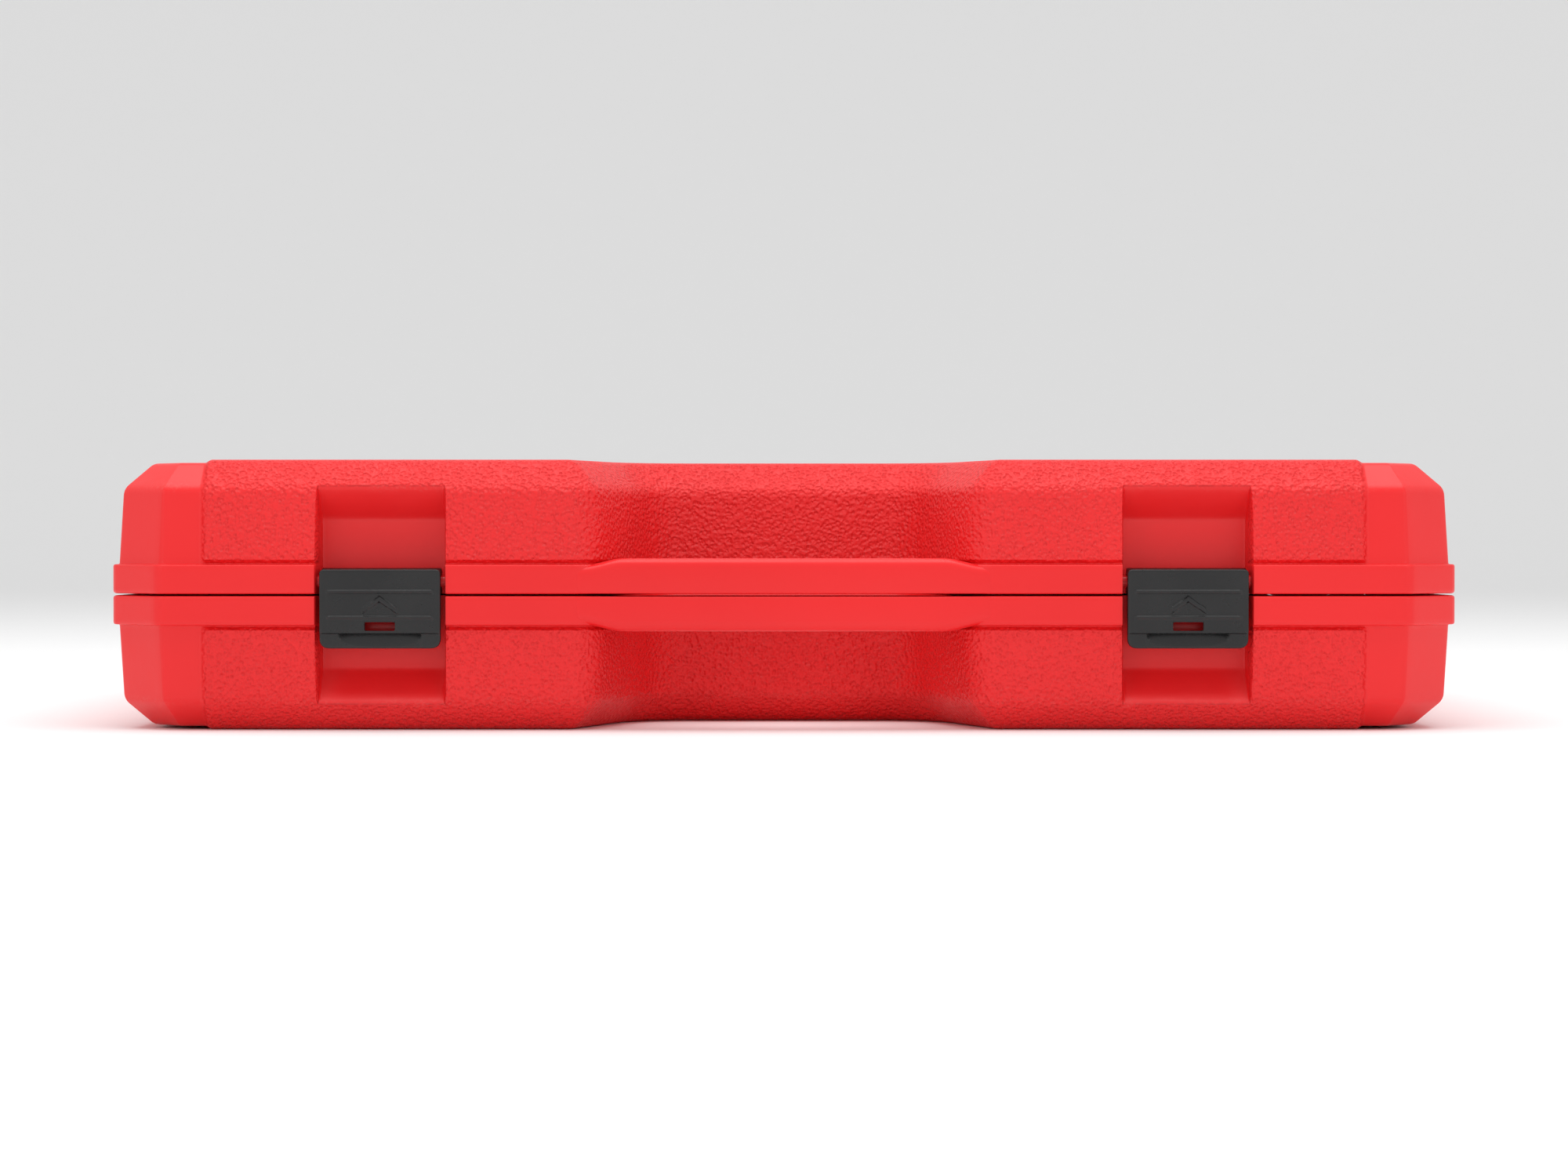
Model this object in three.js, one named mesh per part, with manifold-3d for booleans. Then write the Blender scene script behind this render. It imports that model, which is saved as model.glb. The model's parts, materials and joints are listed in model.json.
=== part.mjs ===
// A 1/2 inch socket wrench set in a two-part blow-moulded carrying case, closed.
// Millimetres, +Z up. The case lies on its base. The origin is the middle of its footprint, on the surface
// it lies on. The handle and latches face -Y, and the hinges and standing feet face +Y.
// Heights in this file are measured from the parting plane between lid and base, and the group that holds
// every piece lifts them by the height of the base.
import * as THREE from "three";
import { mergeVertices } from "three/addons/utils/BufferGeometryUtils.js";
import Module from "manifold-3d";

const wasm = await Module();
wasm.setup();

// ---------------------------------------------------------------- driving dimensions: case

const CASE_WIDTH = 424; // over the flanges
const CASE_DEPTH = 330; // from the latch faces to the standing edges of the feet
const HALF_HEIGHT = 42.4; // of the base, and of the lid
const PARTING_GAP = 0.6; // between the two flanges
const FLANGE_HEIGHT = 9.5;
const FLANGE_OVERHANG = 1.9; // past the foot of the wall
const WALL_HEIGHT = 33.2; // where the wall meets the long chamfer
const WALL_DRAFT = 1.5; // lean of the wall between flange and chamfer
const CHAMFER_RUN = 9; // of the long chamfer, in plan
const RAISE = 1; // textured panels stand this proud of the smooth skin
const CORNER_CHAMFER = 17;
const SKIN = 2; // moulded wall
const RIM_WIDTH = 16; // flat rim between the outside and the inner walls
const BREATHER_RADIUS = 2.5; // blow-pin hole through the rim into each double wall

const BAND_COUNT = 5;
const BAND_WIDTH = 44;
const BAND_PITCH = 79.5;
const FRONT_PANEL_DEPTH = 98; // the textured panel across the front of each half

const HANDLE_MOUTH = 58; // half width of the hand opening at the front
const HANDLE_FLOOR = 40; // half width of the hand opening at its back
const HANDLE_DEPTH = 55;
const MOUTH_RADIUS = 12;
const FLOOR_RADIUS = 14;
const GRIP_DEPTH = 20; // carrying handle, front to back
const GRIP_HEIGHT = 11.4; // each half of the carrying handle
const GRIP_CHAMFER = 3;

const LATCH_X = 125.6;
const LATCH_WIDTH = 37.6;
const LATCH_SIDE_GAP = 1;
const LATCH_POCKET_DEPTH = 12;
const LATCH_POCKET_FLOOR = 23.7; // where the pocket's upright back ends and its ramp starts
const LATCH_POCKET_TOP = 35; // where the ramp meets the wall
const LATCH_PROUD = 1.2; // latch face past the flange
const LATCH_TOP = 8;
const LATCH_BOTTOM = 16.6;
const LATCH_PLATE = 2.4;
const LATCH_LIP = 4.6; // height of the lip below the plate
const LATCH_LIP_INSET = 0.9; // lip face behind the plate's
const LATCH_SLOT_WIDTH = 9.5;
const LATCH_SLOT_HEIGHT = 2.7;
const LATCH_CLAW = 2.1; // wall of the claw round the bar
const LATCH_BAR_RADIUS = 1.9; // the bar across the lid's pocket that the latch clips on to
const LATCH_BAR_HEIGHT = 4.2;
const LATCH_BAR_INSET = 5.4; // bar axis behind the flange face
const LATCH_CLEARANCE = 0.3; // round the bar, and between hook and catch
const CATCH_TOP = 8.4; // depth of the ledge on the base that the latch's hook meets
const CATCH_BOTTOM = 12;
const CATCH_REACH = 6.4; // out of the pocket's back
const CATCH_WIDTH = 30;

const HINGE_X = 142.5;
const KNUCKLE_LENGTH = 15.7;
const KNUCKLE_GAP = 0.25; // at each end
const KNUCKLE_RADIUS = 3.5;
const HINGE_PIN_RADIUS = 1.5;
const HINGE_PIN_CLEARANCE = 0.3;
const HINGE_OFFSET = 2.2; // hinge axis behind the back flange face
const HINGE_NOTCH = 1; // room round a knuckle in the other half

const FOOT_CLEARANCE = 0.4; // standing edge past the knuckles
const FOOT_FACE_LOW = 23.7; // half widths of the foot's face, at the flange and at its standing edge
const FOOT_FACE_HIGH = 20;
const FOOT_ROOT = 27; // half width where it leaves the wall
const FOOT_EDGE_HEIGHT = 33; // of the standing edge
const FOOT_START_HEIGHT = 5;

// ---------------------------------------------------------------- driving dimensions: tray and tools

const TRAY_DROP = 3; // tray surface below the parting plane
const TRAY_MARGIN = 6.8; // from the rim to the first tool of a row
const HAND_MARGIN = 26; // from the hand opening to the tools at its right
const LID_HOLLOW = 22; // lid's inner wall above the parting plane
const POCKET_GAP = 0.7; // round a tool in its pocket
const TOOL_DEPTH = 8; // axis of a tool below the parting plane
const TOOL_SPACING = 3.2; // between neighbours in a row
const TROUGH_STEPS = 4;
const ROUND_SIDES = 12;
const KNUCKLE_SIDES = 16;
const SMALL_SIDES = 8; // of holes and screws
const HEAD_SIDES = 24;

const DRIVE = 12.7; // 1/2 inch square
const DRIVE_LENGTH = 16;
const DRIVE_CLEARANCE = 0.25; // of a square hole round the drive, each side
const DRIVE_BEVEL = 1;
const SHOULDER_RUN = 4; // of a socket, past the bottom of its hexagon
const EDGE = 0.8; // bevel on the turned tools

// Across flats, diameter at the nut end, diameter at the drive end, length.
const SOCKETS = [
  [10, 15.6, 22, 38],
  [12, 17.6, 22, 38],
  [13, 18.6, 22, 38],
  [14, 20, 22, 38],
  [15, 21.4, 22, 38],
  [17, 24, 23, 38],
  [19, 26.4, 24, 38],
  [22, 30, 26, 40],
  [24, 32.4, 27, 42],
  [27, 36.4, 30, 44],
  [30, 40, 32, 46],
  [32, 42.4, 34, 48],
];
const DEEP_SOCKETS = [
  [13, 19, 22, 77],
  [15, 21.4, 22, 77],
  [17, 24, 23, 77],
  [19, 26.4, 24, 77],
];
const SPARK_PLUG_SOCKETS = [
  [16, 21.6, 22, 64],
  [21, 27, 24, 64],
];
// Distances back from the front row's ends to each further row.
const SOCKET_ROW = 86;
const EXTENSION_ROW = 155; // to the axis of the extensions that lie across
const RATCHET_ROW = 223; // to the axis of the ratchet
const NUT_DEPTH_SHARE = 0.72; // hexagon depth to the size across flats
const SOCKET_BORE = 11.6; // between the hexagon and the square

const LONG_EXTENSION = 250;
const MEDIUM_EXTENSION = 125;
const SHORT_EXTENSION = 75;
const EXTENSION_GAP = 6; // between the long and medium extensions, end to end
const EXTENSION_HEAD = 22; // diameter of the socket end
const EXTENSION_HEAD_LENGTH = 24;
const EXTENSION_TAPER = 6;
const EXTENSION_SHAFT = 13.4;

const UNIVERSAL_DIAMETER = 25;
const UNIVERSAL_LENGTH = 66; // without the drive square
const UNIVERSAL_SLOT = 14.6; // between the ears of each yoke
const UNIVERSAL_BLOCK = 14;
const UNIVERSAL_PIN_RADIUS = 3;

const RATCHET_SETBACK = 79.2; // middle of the head from the first tool's edge
const RATCHET_HEAD_RADIUS = 20.5;
const RATCHET_HEAD_TOP = 5; // above the parting plane
const RATCHET_HEAD_THICKNESS = 24;
const RATCHET_NECK_RADIUS = 15; // round the pawl
const RATCHET_PAWL_X = 18.5; // pawl pivot from the middle of the gear
const RATCHET_SHANK_RADIUS = 8;
const RATCHET_LENGTH = 240; // from the middle of the head to the end of the grip
const GRIP_LENGTH = 125;
const GRIP_RADIUS = 15.5;
const GRIP_WAIST = 13; // radius of the thinner half
const GRIP_SWELL = 24; // length of the swell between the halves
const GRIP_ROUND = 3.5; // at both ends
const GEAR_TEETH = 24;
const GEAR_RADIUS = 12.4;
const GEAR_TOOTH = 1.2;
const GEAR_HEIGHT = 11;
const GEAR_CLEARANCE = 0.5;
const GEAR_COLLAR_RADIUS = 9.6; // between gear and drive square
const PAWL_HALF = [3, 7]; // half of the pawl, towards the gear and across
const PAWL_ROOM = 8.6;
const COVER_THICKNESS = 2;
const COVER_MARGIN = 2.5; // rim of the head round the cover
const COVER_SCREW_REACH = 15.2; // from the middle of the gear
const COVER_SCREW_ANGLES = [75, 180, 285];
const SCREW_HEAD_RADIUS = 2;
const SCREW_HEAD_HEIGHT = 0.9;
const SCREW_RADIUS = 1;
const SCREW_LENGTH = 6;
const BUTTON_RADIUS = 4.2;
const BUTTON_HEIGHT = 2.6; // above the cover
const BUTTON_TRAVEL = 2;
const BUTTON_STEM_RADIUS = 2.4;
const LEVER_RADIUS = 6.4;
const LEVER_THICKNESS = 3;
const LEVER_REACH = 13;
const LEVER_STEM_RADIUS = 2.6;
const BALL_RADIUS = 2.2;
const BALL_PROUD = 0.8;
const FIT = 0.3; // between pieces that touch

// ---------------------------------------------------------------- worked out from the above

const HINGE_Y = CASE_DEPTH / 2 - KNUCKLE_RADIUS - FOOT_CLEARANCE;
const BACK_Y = HINGE_Y - HINGE_OFFSET; // back flange face
const FRONT_Y = LATCH_PROUD - CASE_DEPTH / 2; // front flange face
const HALF_WIDTH = CASE_WIDTH / 2;
const SKIN_HEIGHT = HALF_HEIGHT - RAISE; // of the smooth skin
const WALL_FOOT = FLANGE_OVERHANG; // inset of the wall where it leaves the flange
const WALL_TOP = WALL_FOOT + WALL_DRAFT;
const FACE_EDGE = WALL_TOP + CHAMFER_RUN;
const PANEL_HALF_WIDTH = ((BAND_COUNT - 1) * BAND_PITCH + BAND_WIDTH) / 2;
const LATCH_AXIS_Y = FRONT_Y + LATCH_BAR_INSET;
const POCKET_BACK_Y = FRONT_Y + LATCH_POCKET_DEPTH;
const LATCH_POCKET_HALF = LATCH_WIDTH / 2 + LATCH_SIDE_GAP;
const LATCH_PLACES = [
  ["left", -LATCH_X],
  ["right", LATCH_X],
];
const HINGE_PLACES = [
  ["left", -HINGE_X],
  ["centre", 0],
  ["right", HINGE_X],
];

const CATCH_TIP_Y = POCKET_BACK_Y - CATCH_REACH;

const FIRST_X = RIM_WIDTH + TRAY_MARGIN - HALF_WIDTH; // left edge of the first tools
const FRONT_ROW_Y = FRONT_Y + RIM_WIDTH + TRAY_MARGIN; // nearest ends of the front row
const SECOND_X = HANDLE_MOUTH + HAND_MARGIN; // left edge of the tools at the right of the hand opening
const EXTENSION_Y = FRONT_ROW_Y + EXTENSION_ROW;
const RATCHET_X = FIRST_X + RATCHET_SETBACK;
const RATCHET_Y = FRONT_ROW_Y + RATCHET_ROW;

// A row of tools that lie side by side along Y, from the place of the row's first edge.
function row(kind, names, sizes, widths, lengths, [firstX, y]) {
  let edge = firstX;
  return sizes.map((size, i) => {
    const x = edge + widths[i] / 2;
    edge += widths[i] + TOOL_SPACING;
    return { kind, name: names[i], size, axis: "y", x, y, sections: [[0, lengths[i], widths[i] / 2]] };
  });
}

function socketRow(prefix, sizes, place) {
  const names = sizes.map(([flats]) => `${prefix}_${flats}`);
  const widths = sizes.map(([, nut, drive]) => Math.max(nut, drive));
  return row("socket", names, sizes, widths, sizes.map(([, , , length]) => length), place);
}

function extensionTool(name, length, axis, x, y) {
  const sections = [
    [0, EXTENSION_HEAD_LENGTH + EXTENSION_TAPER, EXTENSION_HEAD / 2],
    [EXTENSION_HEAD_LENGTH, length, DRIVE * Math.SQRT1_2],
  ];
  return { kind: "extension", name: `extension_${name}`, size: length, axis, x, y, sections };
}

const SPARK_PLUG_ROW = socketRow("spark_plug_socket", SPARK_PLUG_SOCKETS, [SECOND_X, FRONT_ROW_Y]);
const rightOf = (tool, diameter) => tool.x + tool.sections[0][2] + TOOL_SPACING + diameter / 2;
const SHORT_X = rightOf(SPARK_PLUG_ROW.at(-1), EXTENSION_HEAD);
const EXTENSIONS = [
  extensionTool("long", LONG_EXTENSION, "x", FIRST_X, EXTENSION_Y),
  extensionTool("medium", MEDIUM_EXTENSION, "x", FIRST_X + LONG_EXTENSION + EXTENSION_GAP, EXTENSION_Y),
  extensionTool("short", SHORT_EXTENSION, "y", SHORT_X, FRONT_ROW_Y),
];

const UNIVERSAL_JOINT = {
  kind: "universal",
  axis: "y",
  x: rightOf(EXTENSIONS.at(-1), UNIVERSAL_DIAMETER),
  y: FRONT_ROW_Y,
  sections: [[0, UNIVERSAL_LENGTH + DRIVE_LENGTH, UNIVERSAL_DIAMETER / 2]],
};

const LYING_TOOLS = [
  ...socketRow("socket", SOCKETS, [FIRST_X, FRONT_ROW_Y + SOCKET_ROW]),
  ...socketRow("deep_socket", DEEP_SOCKETS, [FIRST_X, FRONT_ROW_Y]),
  ...SPARK_PLUG_ROW,
  ...EXTENSIONS,
  UNIVERSAL_JOINT,
];

// ---------------------------------------------------------------- solids

// A closed three.js geometry as a solid that can be joined and cut.
function solid(geometry) {
  const bare = geometry.index ? geometry.toNonIndexed() : geometry.clone();
  bare.deleteAttribute("normal");
  bare.deleteAttribute("uv");
  const merged = mergeVertices(bare, 1e-4);
  return new wasm.Manifold(
    new wasm.Mesh({
      numProp: 3,
      vertProperties: merged.attributes.position.array,
      triVerts: new Uint32Array(merged.index.array),
    }),
  );
}

// The other way round: a cut or joined solid as a three.js geometry.
function geometryOf(body) {
  const mesh = body.getMesh();
  const geometry = new THREE.BufferGeometry();
  geometry.setAttribute("position", new THREE.BufferAttribute(mesh.vertProperties, 3));
  geometry.setIndex(new THREE.BufferAttribute(mesh.triVerts, 1));
  return geometry;
}

const join = (...bodies) => bodies.reduce((a, b) => a.add(b));
const cut = (body, ...cutters) => cutters.reduce((a, b) => a.subtract(b), body);

function extrude(outline, length, basis, start) {
  const geometry = new THREE.ExtrudeGeometry(new THREE.Shape(outline), {
    depth: length,
    bevelEnabled: false,
    steps: 1,
  });
  geometry.translate(0, 0, start);
  geometry.applyMatrix4(basis);
  return solid(geometry);
}

const X = new THREE.Vector3(1, 0, 0);
const Y = new THREE.Vector3(0, 1, 0);
const Z = new THREE.Vector3(0, 0, 1);
const ALONG_X = new THREE.Matrix4().makeBasis(Y, Z, X);
const ALONG_Y = new THREE.Matrix4().makeBasis(Z, X, Y);
const ALONG_Z = new THREE.Matrix4();

// An outline of [y, z] points drawn out along X, of [x, y] points along Z, and of [x, z] points along Y.
const pointsOf = (pairs) => pairs.map(([a, b]) => new THREE.Vector2(a, b));
const prismX = (pairs, from, to) => extrude(pointsOf(pairs), to - from, ALONG_X, from);
const prismZ = (pairs, from, to) => extrude(pointsOf(pairs), to - from, ALONG_Z, from);
const prismY = (pairs, from, to) =>
  extrude(pointsOf(pairs.map(([x, z]) => [z, x])), to - from, ALONG_Y, from);

function box(x0, x1, y0, y1, z0, z1) {
  const geometry = new THREE.BoxGeometry(x1 - x0, y1 - y0, z1 - z0);
  geometry.translate((x0 + x1) / 2, (y0 + y1) / 2, (z0 + z1) / 2);
  return solid(geometry);
}

// A solid of revolution from [radius, distance] points that start and end on the axis, laid along an axis.
function turnedAlong(profile, axis, place, sides = ROUND_SIDES) {
  const geometry = new THREE.LatheGeometry(pointsOf(profile), sides);
  if (axis === "x") geometry.rotateZ(-Math.PI / 2);
  if (axis === "-x") geometry.rotateZ(Math.PI / 2);
  if (axis === "-y") geometry.rotateX(Math.PI);
  if (axis === "z") geometry.rotateX(Math.PI / 2);
  if (axis === "-z") geometry.rotateX(-Math.PI / 2);
  return solid(geometry.translate(...place));
}

const rod = (radius, length, axis, place, sides = ROUND_SIDES) =>
  turnedAlong([[0, 0], [radius, 0], [radius, length], [0, length]], axis, place, sides);

// A regular polygon by its distance across flats, with a flat towards the second axis.
function polygon(acrossFlats, sides, cx = 0, cy = 0) {
  const radius = acrossFlats / 2 / Math.cos(Math.PI / sides);
  return Array.from({ length: sides }, (_, i) => {
    const angle = ((i + 0.5) * 2 * Math.PI) / sides;
    return [cx + radius * Math.sin(angle), cy + radius * Math.cos(angle)];
  });
}

// Stacked outlines of equal point count, lowest first, each [points, z], as one closed solid.
function loft(levels) {
  const rising = levels[0][1] <= levels[levels.length - 1][1] ? levels : [...levels].reverse();
  const count = rising[0][0].length;
  const positions = rising.flatMap(([points, z]) => points.flatMap((p) => [p.x, p.y, z]));
  const index = [];
  for (let level = 0; level + 1 < rising.length; level++) {
    for (let i = 0; i < count; i++) {
      const a = level * count + i;
      const b = level * count + ((i + 1) % count);
      index.push(a, b, b + count, a, b + count, a + count);
    }
  }
  const top = (rising.length - 1) * count;
  for (const [a, b, c] of THREE.ShapeUtils.triangulateShape(rising[0][0], [])) index.push(c, b, a);
  for (const [a, b, c] of THREE.ShapeUtils.triangulateShape(rising.at(-1)[0], [])) {
    index.push(top + a, top + b, top + c);
  }
  const geometry = new THREE.BufferGeometry();
  geometry.setAttribute("position", new THREE.Float32BufferAttribute(positions, 3));
  geometry.setIndex(index);
  return solid(geometry);
}

// ---------------------------------------------------------------- plan of the case

// Corners of the flange in plan, anticlockwise from the left end of the hand opening: x, y, rounding.
const PLAN_CORNERS = [
  [-HANDLE_FLOOR, FRONT_Y + HANDLE_DEPTH, FLOOR_RADIUS, -1],
  [-HANDLE_MOUTH, FRONT_Y, MOUTH_RADIUS, 1],
  [-HALF_WIDTH + CORNER_CHAMFER, FRONT_Y, 0, 1],
  [-HALF_WIDTH, FRONT_Y + CORNER_CHAMFER, 0, 1],
  [-HALF_WIDTH, BACK_Y - CORNER_CHAMFER, 0, 1],
  [-HALF_WIDTH + CORNER_CHAMFER, BACK_Y, 0, 1],
  [HALF_WIDTH - CORNER_CHAMFER, BACK_Y, 0, 1],
  [HALF_WIDTH, BACK_Y - CORNER_CHAMFER, 0, 1],
  [HALF_WIDTH, FRONT_Y + CORNER_CHAMFER, 0, 1],
  [HALF_WIDTH - CORNER_CHAMFER, FRONT_Y, 0, 1],
  [HANDLE_MOUTH, FRONT_Y, MOUTH_RADIUS, 1],
  [HANDLE_FLOOR, FRONT_Y + HANDLE_DEPTH, FLOOR_RADIUS, -1],
].reverse();
const ARC_STEPS = 4;
const LEAST_RADIUS = 1;

// The plan moved in by a distance: each corner slides to where its two moved sides meet.
function plan(inset) {
  const count = PLAN_CORNERS.length;
  const at = (i) => new THREE.Vector2(...PLAN_CORNERS[(i + count) % count]);
  const direction = (i) => at(i + 1).sub(at(i)).normalize();
  const corners = PLAN_CORNERS.map((_, i) => {
    const before = direction(i - 1);
    const after = direction(i);
    const inward = new THREE.Vector2(-before.y - after.y, before.x + after.x).normalize();
    const reach = inset / Math.sqrt((1 + before.dot(after)) / 2);
    return at(i).addScaledVector(inward, reach);
  });
  return corners.flatMap((corner, i) => {
    const [, , radius, bulge] = PLAN_CORNERS[i];
    if (!radius) return [corner];
    return arc(corner, direction(i - 1), direction(i), Math.max(radius - bulge * inset, LEAST_RADIUS));
  });
}

// A rounded corner as points from the side that runs along `before` to the side that runs along `after`.
function arc(corner, before, after, radius) {
  const turn = Math.acos(before.dot(after));
  const side = Math.sign(before.cross(after));
  const reach = radius * Math.tan(turn / 2);
  const centre = corner.clone().addScaledVector(before, -reach);
  centre.add(new THREE.Vector2(-before.y, before.x).multiplyScalar(side * radius));
  const from = corner.clone().addScaledVector(before, -reach).sub(centre);
  return Array.from({ length: ARC_STEPS + 1 }, (_, i) => {
    const angle = (side * turn * i) / ARC_STEPS;
    return from.clone().rotateAround(new THREE.Vector2(), angle).add(centre);
  });
}

// ---------------------------------------------------------------- case halves, outside
// `side` is 1 for the lid, above the parting plane, and -1 for the base, below it.

function smoothBody(side) {
  return loft([
    [plan(0), (side * PARTING_GAP) / 2],
    [plan(0), side * FLANGE_HEIGHT],
    [plan(WALL_FOOT), side * FLANGE_HEIGHT],
    [plan(WALL_TOP), side * WALL_HEIGHT],
    [plan(FACE_EDGE), side * SKIN_HEIGHT],
  ]);
}

// The textured skin: the smooth one moved out, kept only over the front panel and the bands behind it.
function raisedPanels(side) {
  const skin = loft([
    [plan(WALL_FOOT - RAISE), side * (FLANGE_HEIGHT - 1)],
    [plan(WALL_TOP - RAISE), side * (WALL_HEIGHT + RAISE / 2)],
    [plan(FACE_EDGE - RAISE), side * HALF_HEIGHT],
  ]);
  const panelBack = FRONT_Y + FRONT_PANEL_DEPTH;
  const far = HALF_HEIGHT + 1;
  const panel = box(-PANEL_HALF_WIDTH, PANEL_HALF_WIDTH, -CASE_DEPTH, panelBack, -far, far);
  const bands = Array.from({ length: BAND_COUNT }, (_, i) => {
    const x = (i - (BAND_COUNT - 1) / 2) * BAND_PITCH;
    return box(x - BAND_WIDTH / 2, x + BAND_WIDTH / 2, panelBack - 1, CASE_DEPTH, -far, far);
  });
  return skin.intersect(join(panel, ...bands));
}

// Half of the handle's bar, across the mouth of the hand opening.
function gripHalf(side) {
  const back = FRONT_Y + GRIP_DEPTH;
  const low = (side * PARTING_GAP) / 2;
  const high = side * GRIP_HEIGHT;
  const bevel = side * GRIP_CHAMFER;
  const end = HANDLE_MOUTH + 2;
  return prismX(
    [
      [FRONT_Y, low],
      [back, low],
      [back, high - bevel],
      [back - GRIP_CHAMFER, high],
      [FRONT_Y + GRIP_CHAMFER, high],
      [FRONT_Y, high - bevel],
    ],
    -end,
    end,
  );
}

// The pocket that a latch sits in, moved out by `grow` to leave a skin round it.
function latchPocket(side, x, grow) {
  const run = LATCH_POCKET_DEPTH - WALL_TOP + RAISE;
  const slope = (LATCH_POCKET_TOP - LATCH_POCKET_FLOOR) / run;
  const outside = LATCH_POCKET_DEPTH + 5;
  const back = POCKET_BACK_Y + grow;
  const half = LATCH_POCKET_HALF + grow;
  return prismX(
    [
      [back - outside, -side],
      [back, -side],
      [back, side * (LATCH_POCKET_FLOOR + grow / 2)],
      [back - outside, side * (LATCH_POCKET_FLOOR + grow / 2 + outside * slope)],
    ],
    x - half,
    x + half,
  );
}

// A wedge on the back wall, level with the flange at one end, that the case stands on.
function foot(side, x) {
  const root = BACK_Y - RIM_WIDTH / 2;
  const edge = CASE_DEPTH / 2;
  const low = side * FOOT_START_HEIGHT;
  const high = side * FOOT_EDGE_HEIGHT;
  const crest = side * (SKIN_HEIGHT - RAISE);
  const corners = [
    [-FOOT_FACE_LOW, root, low],
    [FOOT_FACE_LOW, root, low],
    [FOOT_FACE_LOW, BACK_Y, low],
    [-FOOT_FACE_LOW, BACK_Y, low],
    [-FOOT_ROOT, root, crest],
    [FOOT_ROOT, root, crest],
    [FOOT_FACE_HIGH, edge, high],
    [-FOOT_FACE_HIGH, edge, high],
  ];
  const quads = [
    [0, 3, 2, 1],
    [4, 5, 6, 7],
    [0, 1, 5, 4],
    [1, 2, 6, 5],
    [2, 3, 7, 6],
    [3, 0, 4, 7],
  ];
  const faces = quads.flatMap(([a, b, c, d]) => [a, b, c, a, c, d]);
  const geometry = new THREE.BufferGeometry();
  const positions = corners.flatMap(([cx, cy, cz]) => [cx + x, cy, cz]);
  geometry.setAttribute("position", new THREE.Float32BufferAttribute(positions, 3));
  geometry.setIndex(side > 0 ? faces : faces.reverse());
  return solid(geometry);
}

// Middles of the knuckles that one half carries at each hinge: the base has the outer two, the lid the inner.
const knucklePlaces = (side, x) => (side > 0 ? [x] : [x - KNUCKLE_LENGTH, x + KNUCKLE_LENGTH]);

function knuckle(side, x) {
  const half = KNUCKLE_LENGTH / 2 - KNUCKLE_GAP;
  const barrel = rod(KNUCKLE_RADIUS, 2 * half, "x", [x - half, HINGE_Y, 0], KNUCKLE_SIDES);
  const web = prismX(
    [
      [BACK_Y - 0.4, (side * PARTING_GAP) / 2],
      [HINGE_Y, (side * PARTING_GAP) / 2],
      [HINGE_Y, side * (KNUCKLE_RADIUS - 0.4)],
      [BACK_Y - 0.4, side * (KNUCKLE_RADIUS - 0.4)],
    ],
    x - half,
    x + half,
  );
  return join(barrel, web);
}

// Room in this half for a knuckle of the other half.
function knuckleRoom(x) {
  const half = KNUCKLE_LENGTH / 2 + KNUCKLE_GAP;
  const room = KNUCKLE_RADIUS + HINGE_NOTCH;
  return box(x - half, x + half, HINGE_Y - room, CASE_DEPTH, -room, room);
}

// The bar across the lid's pocket, or the ledge at the back of the base's pocket.
function latchFixture(side, x) {
  if (side > 0) {
    const length = 2 * (LATCH_POCKET_HALF + SKIN / 2);
    const place = [x - length / 2, LATCH_AXIS_Y, LATCH_BAR_HEIGHT];
    return rod(LATCH_BAR_RADIUS, length, "x", place);
  }
  const half = CATCH_WIDTH / 2;
  return box(x - half, x + half, CATCH_TIP_Y, POCKET_BACK_Y + SKIN / 2, -CATCH_BOTTOM, -CATCH_TOP);
}

function outside(side) {
  const feet = side > 0 ? [0] : [-HINGE_X, HINGE_X];
  const body = join(smoothBody(side), raisedPanels(side), ...feet.map((x) => foot(side, x)));
  const pockets = LATCH_PLACES.map(([, x]) => latchPocket(side, x, 0));
  const rooms = HINGE_PLACES.flatMap(([, x]) => knucklePlaces(-side, x).map(knuckleRoom));
  const knuckles = HINGE_PLACES.flatMap(([, x]) => knucklePlaces(side, x).map((k) => knuckle(side, k)));
  const fixtures = LATCH_PLACES.map(([, x]) => latchFixture(side, x));
  const bores = HINGE_PLACES.map(([, x]) => hingePin(x, HINGE_PIN_CLEARANCE));
  return cut(join(cut(body, ...pockets, ...rooms), gripHalf(side), ...knuckles, ...fixtures), ...bores);
}

function hingePin(x, grow) {
  const half = 1.5 * KNUCKLE_LENGTH + 2 * grow - FIT;
  return rod(HINGE_PIN_RADIUS + grow, 2 * half, "x", [x - half, HINGE_Y, 0]);
}

// ---------------------------------------------------------------- case halves, inside

// The room between the rims: `depth` is how far it goes into this half.
function room(side, inset, depth) {
  const outline = plan(inset);
  return loft([
    [outline, -side],
    [outline, side * depth],
  ]);
}

// A pocket for a tool that lies along X or Y: upright sides down to its axis, half round below.
// `sections` are [from, to, radius] along the tool, from its lower end.
function trough(tool, grow) {
  const [across, along] = tool.axis === "x" ? [tool.y, tool.x] : [tool.x, tool.y];
  const draw = tool.axis === "x" ? prismX : prismY;
  const margin = POCKET_GAP + grow;
  return tool.sections.map(([from, to, radius]) => {
    const wide = radius + margin;
    const reach = wide / Math.cos(Math.PI / 2 / TROUGH_STEPS);
    const bottom = Array.from({ length: TROUGH_STEPS }, (_, i) => {
      const angle = Math.PI * (1 + (i + 0.5) / TROUGH_STEPS);
      return [across + reach * Math.cos(angle), reach * Math.sin(angle) - TOOL_DEPTH];
    });
    const outline = [...bottom, [across + wide, 1], [across - wide, 1]];
    return draw(outline, along + from - margin, along + to + margin);
  });
}

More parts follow.
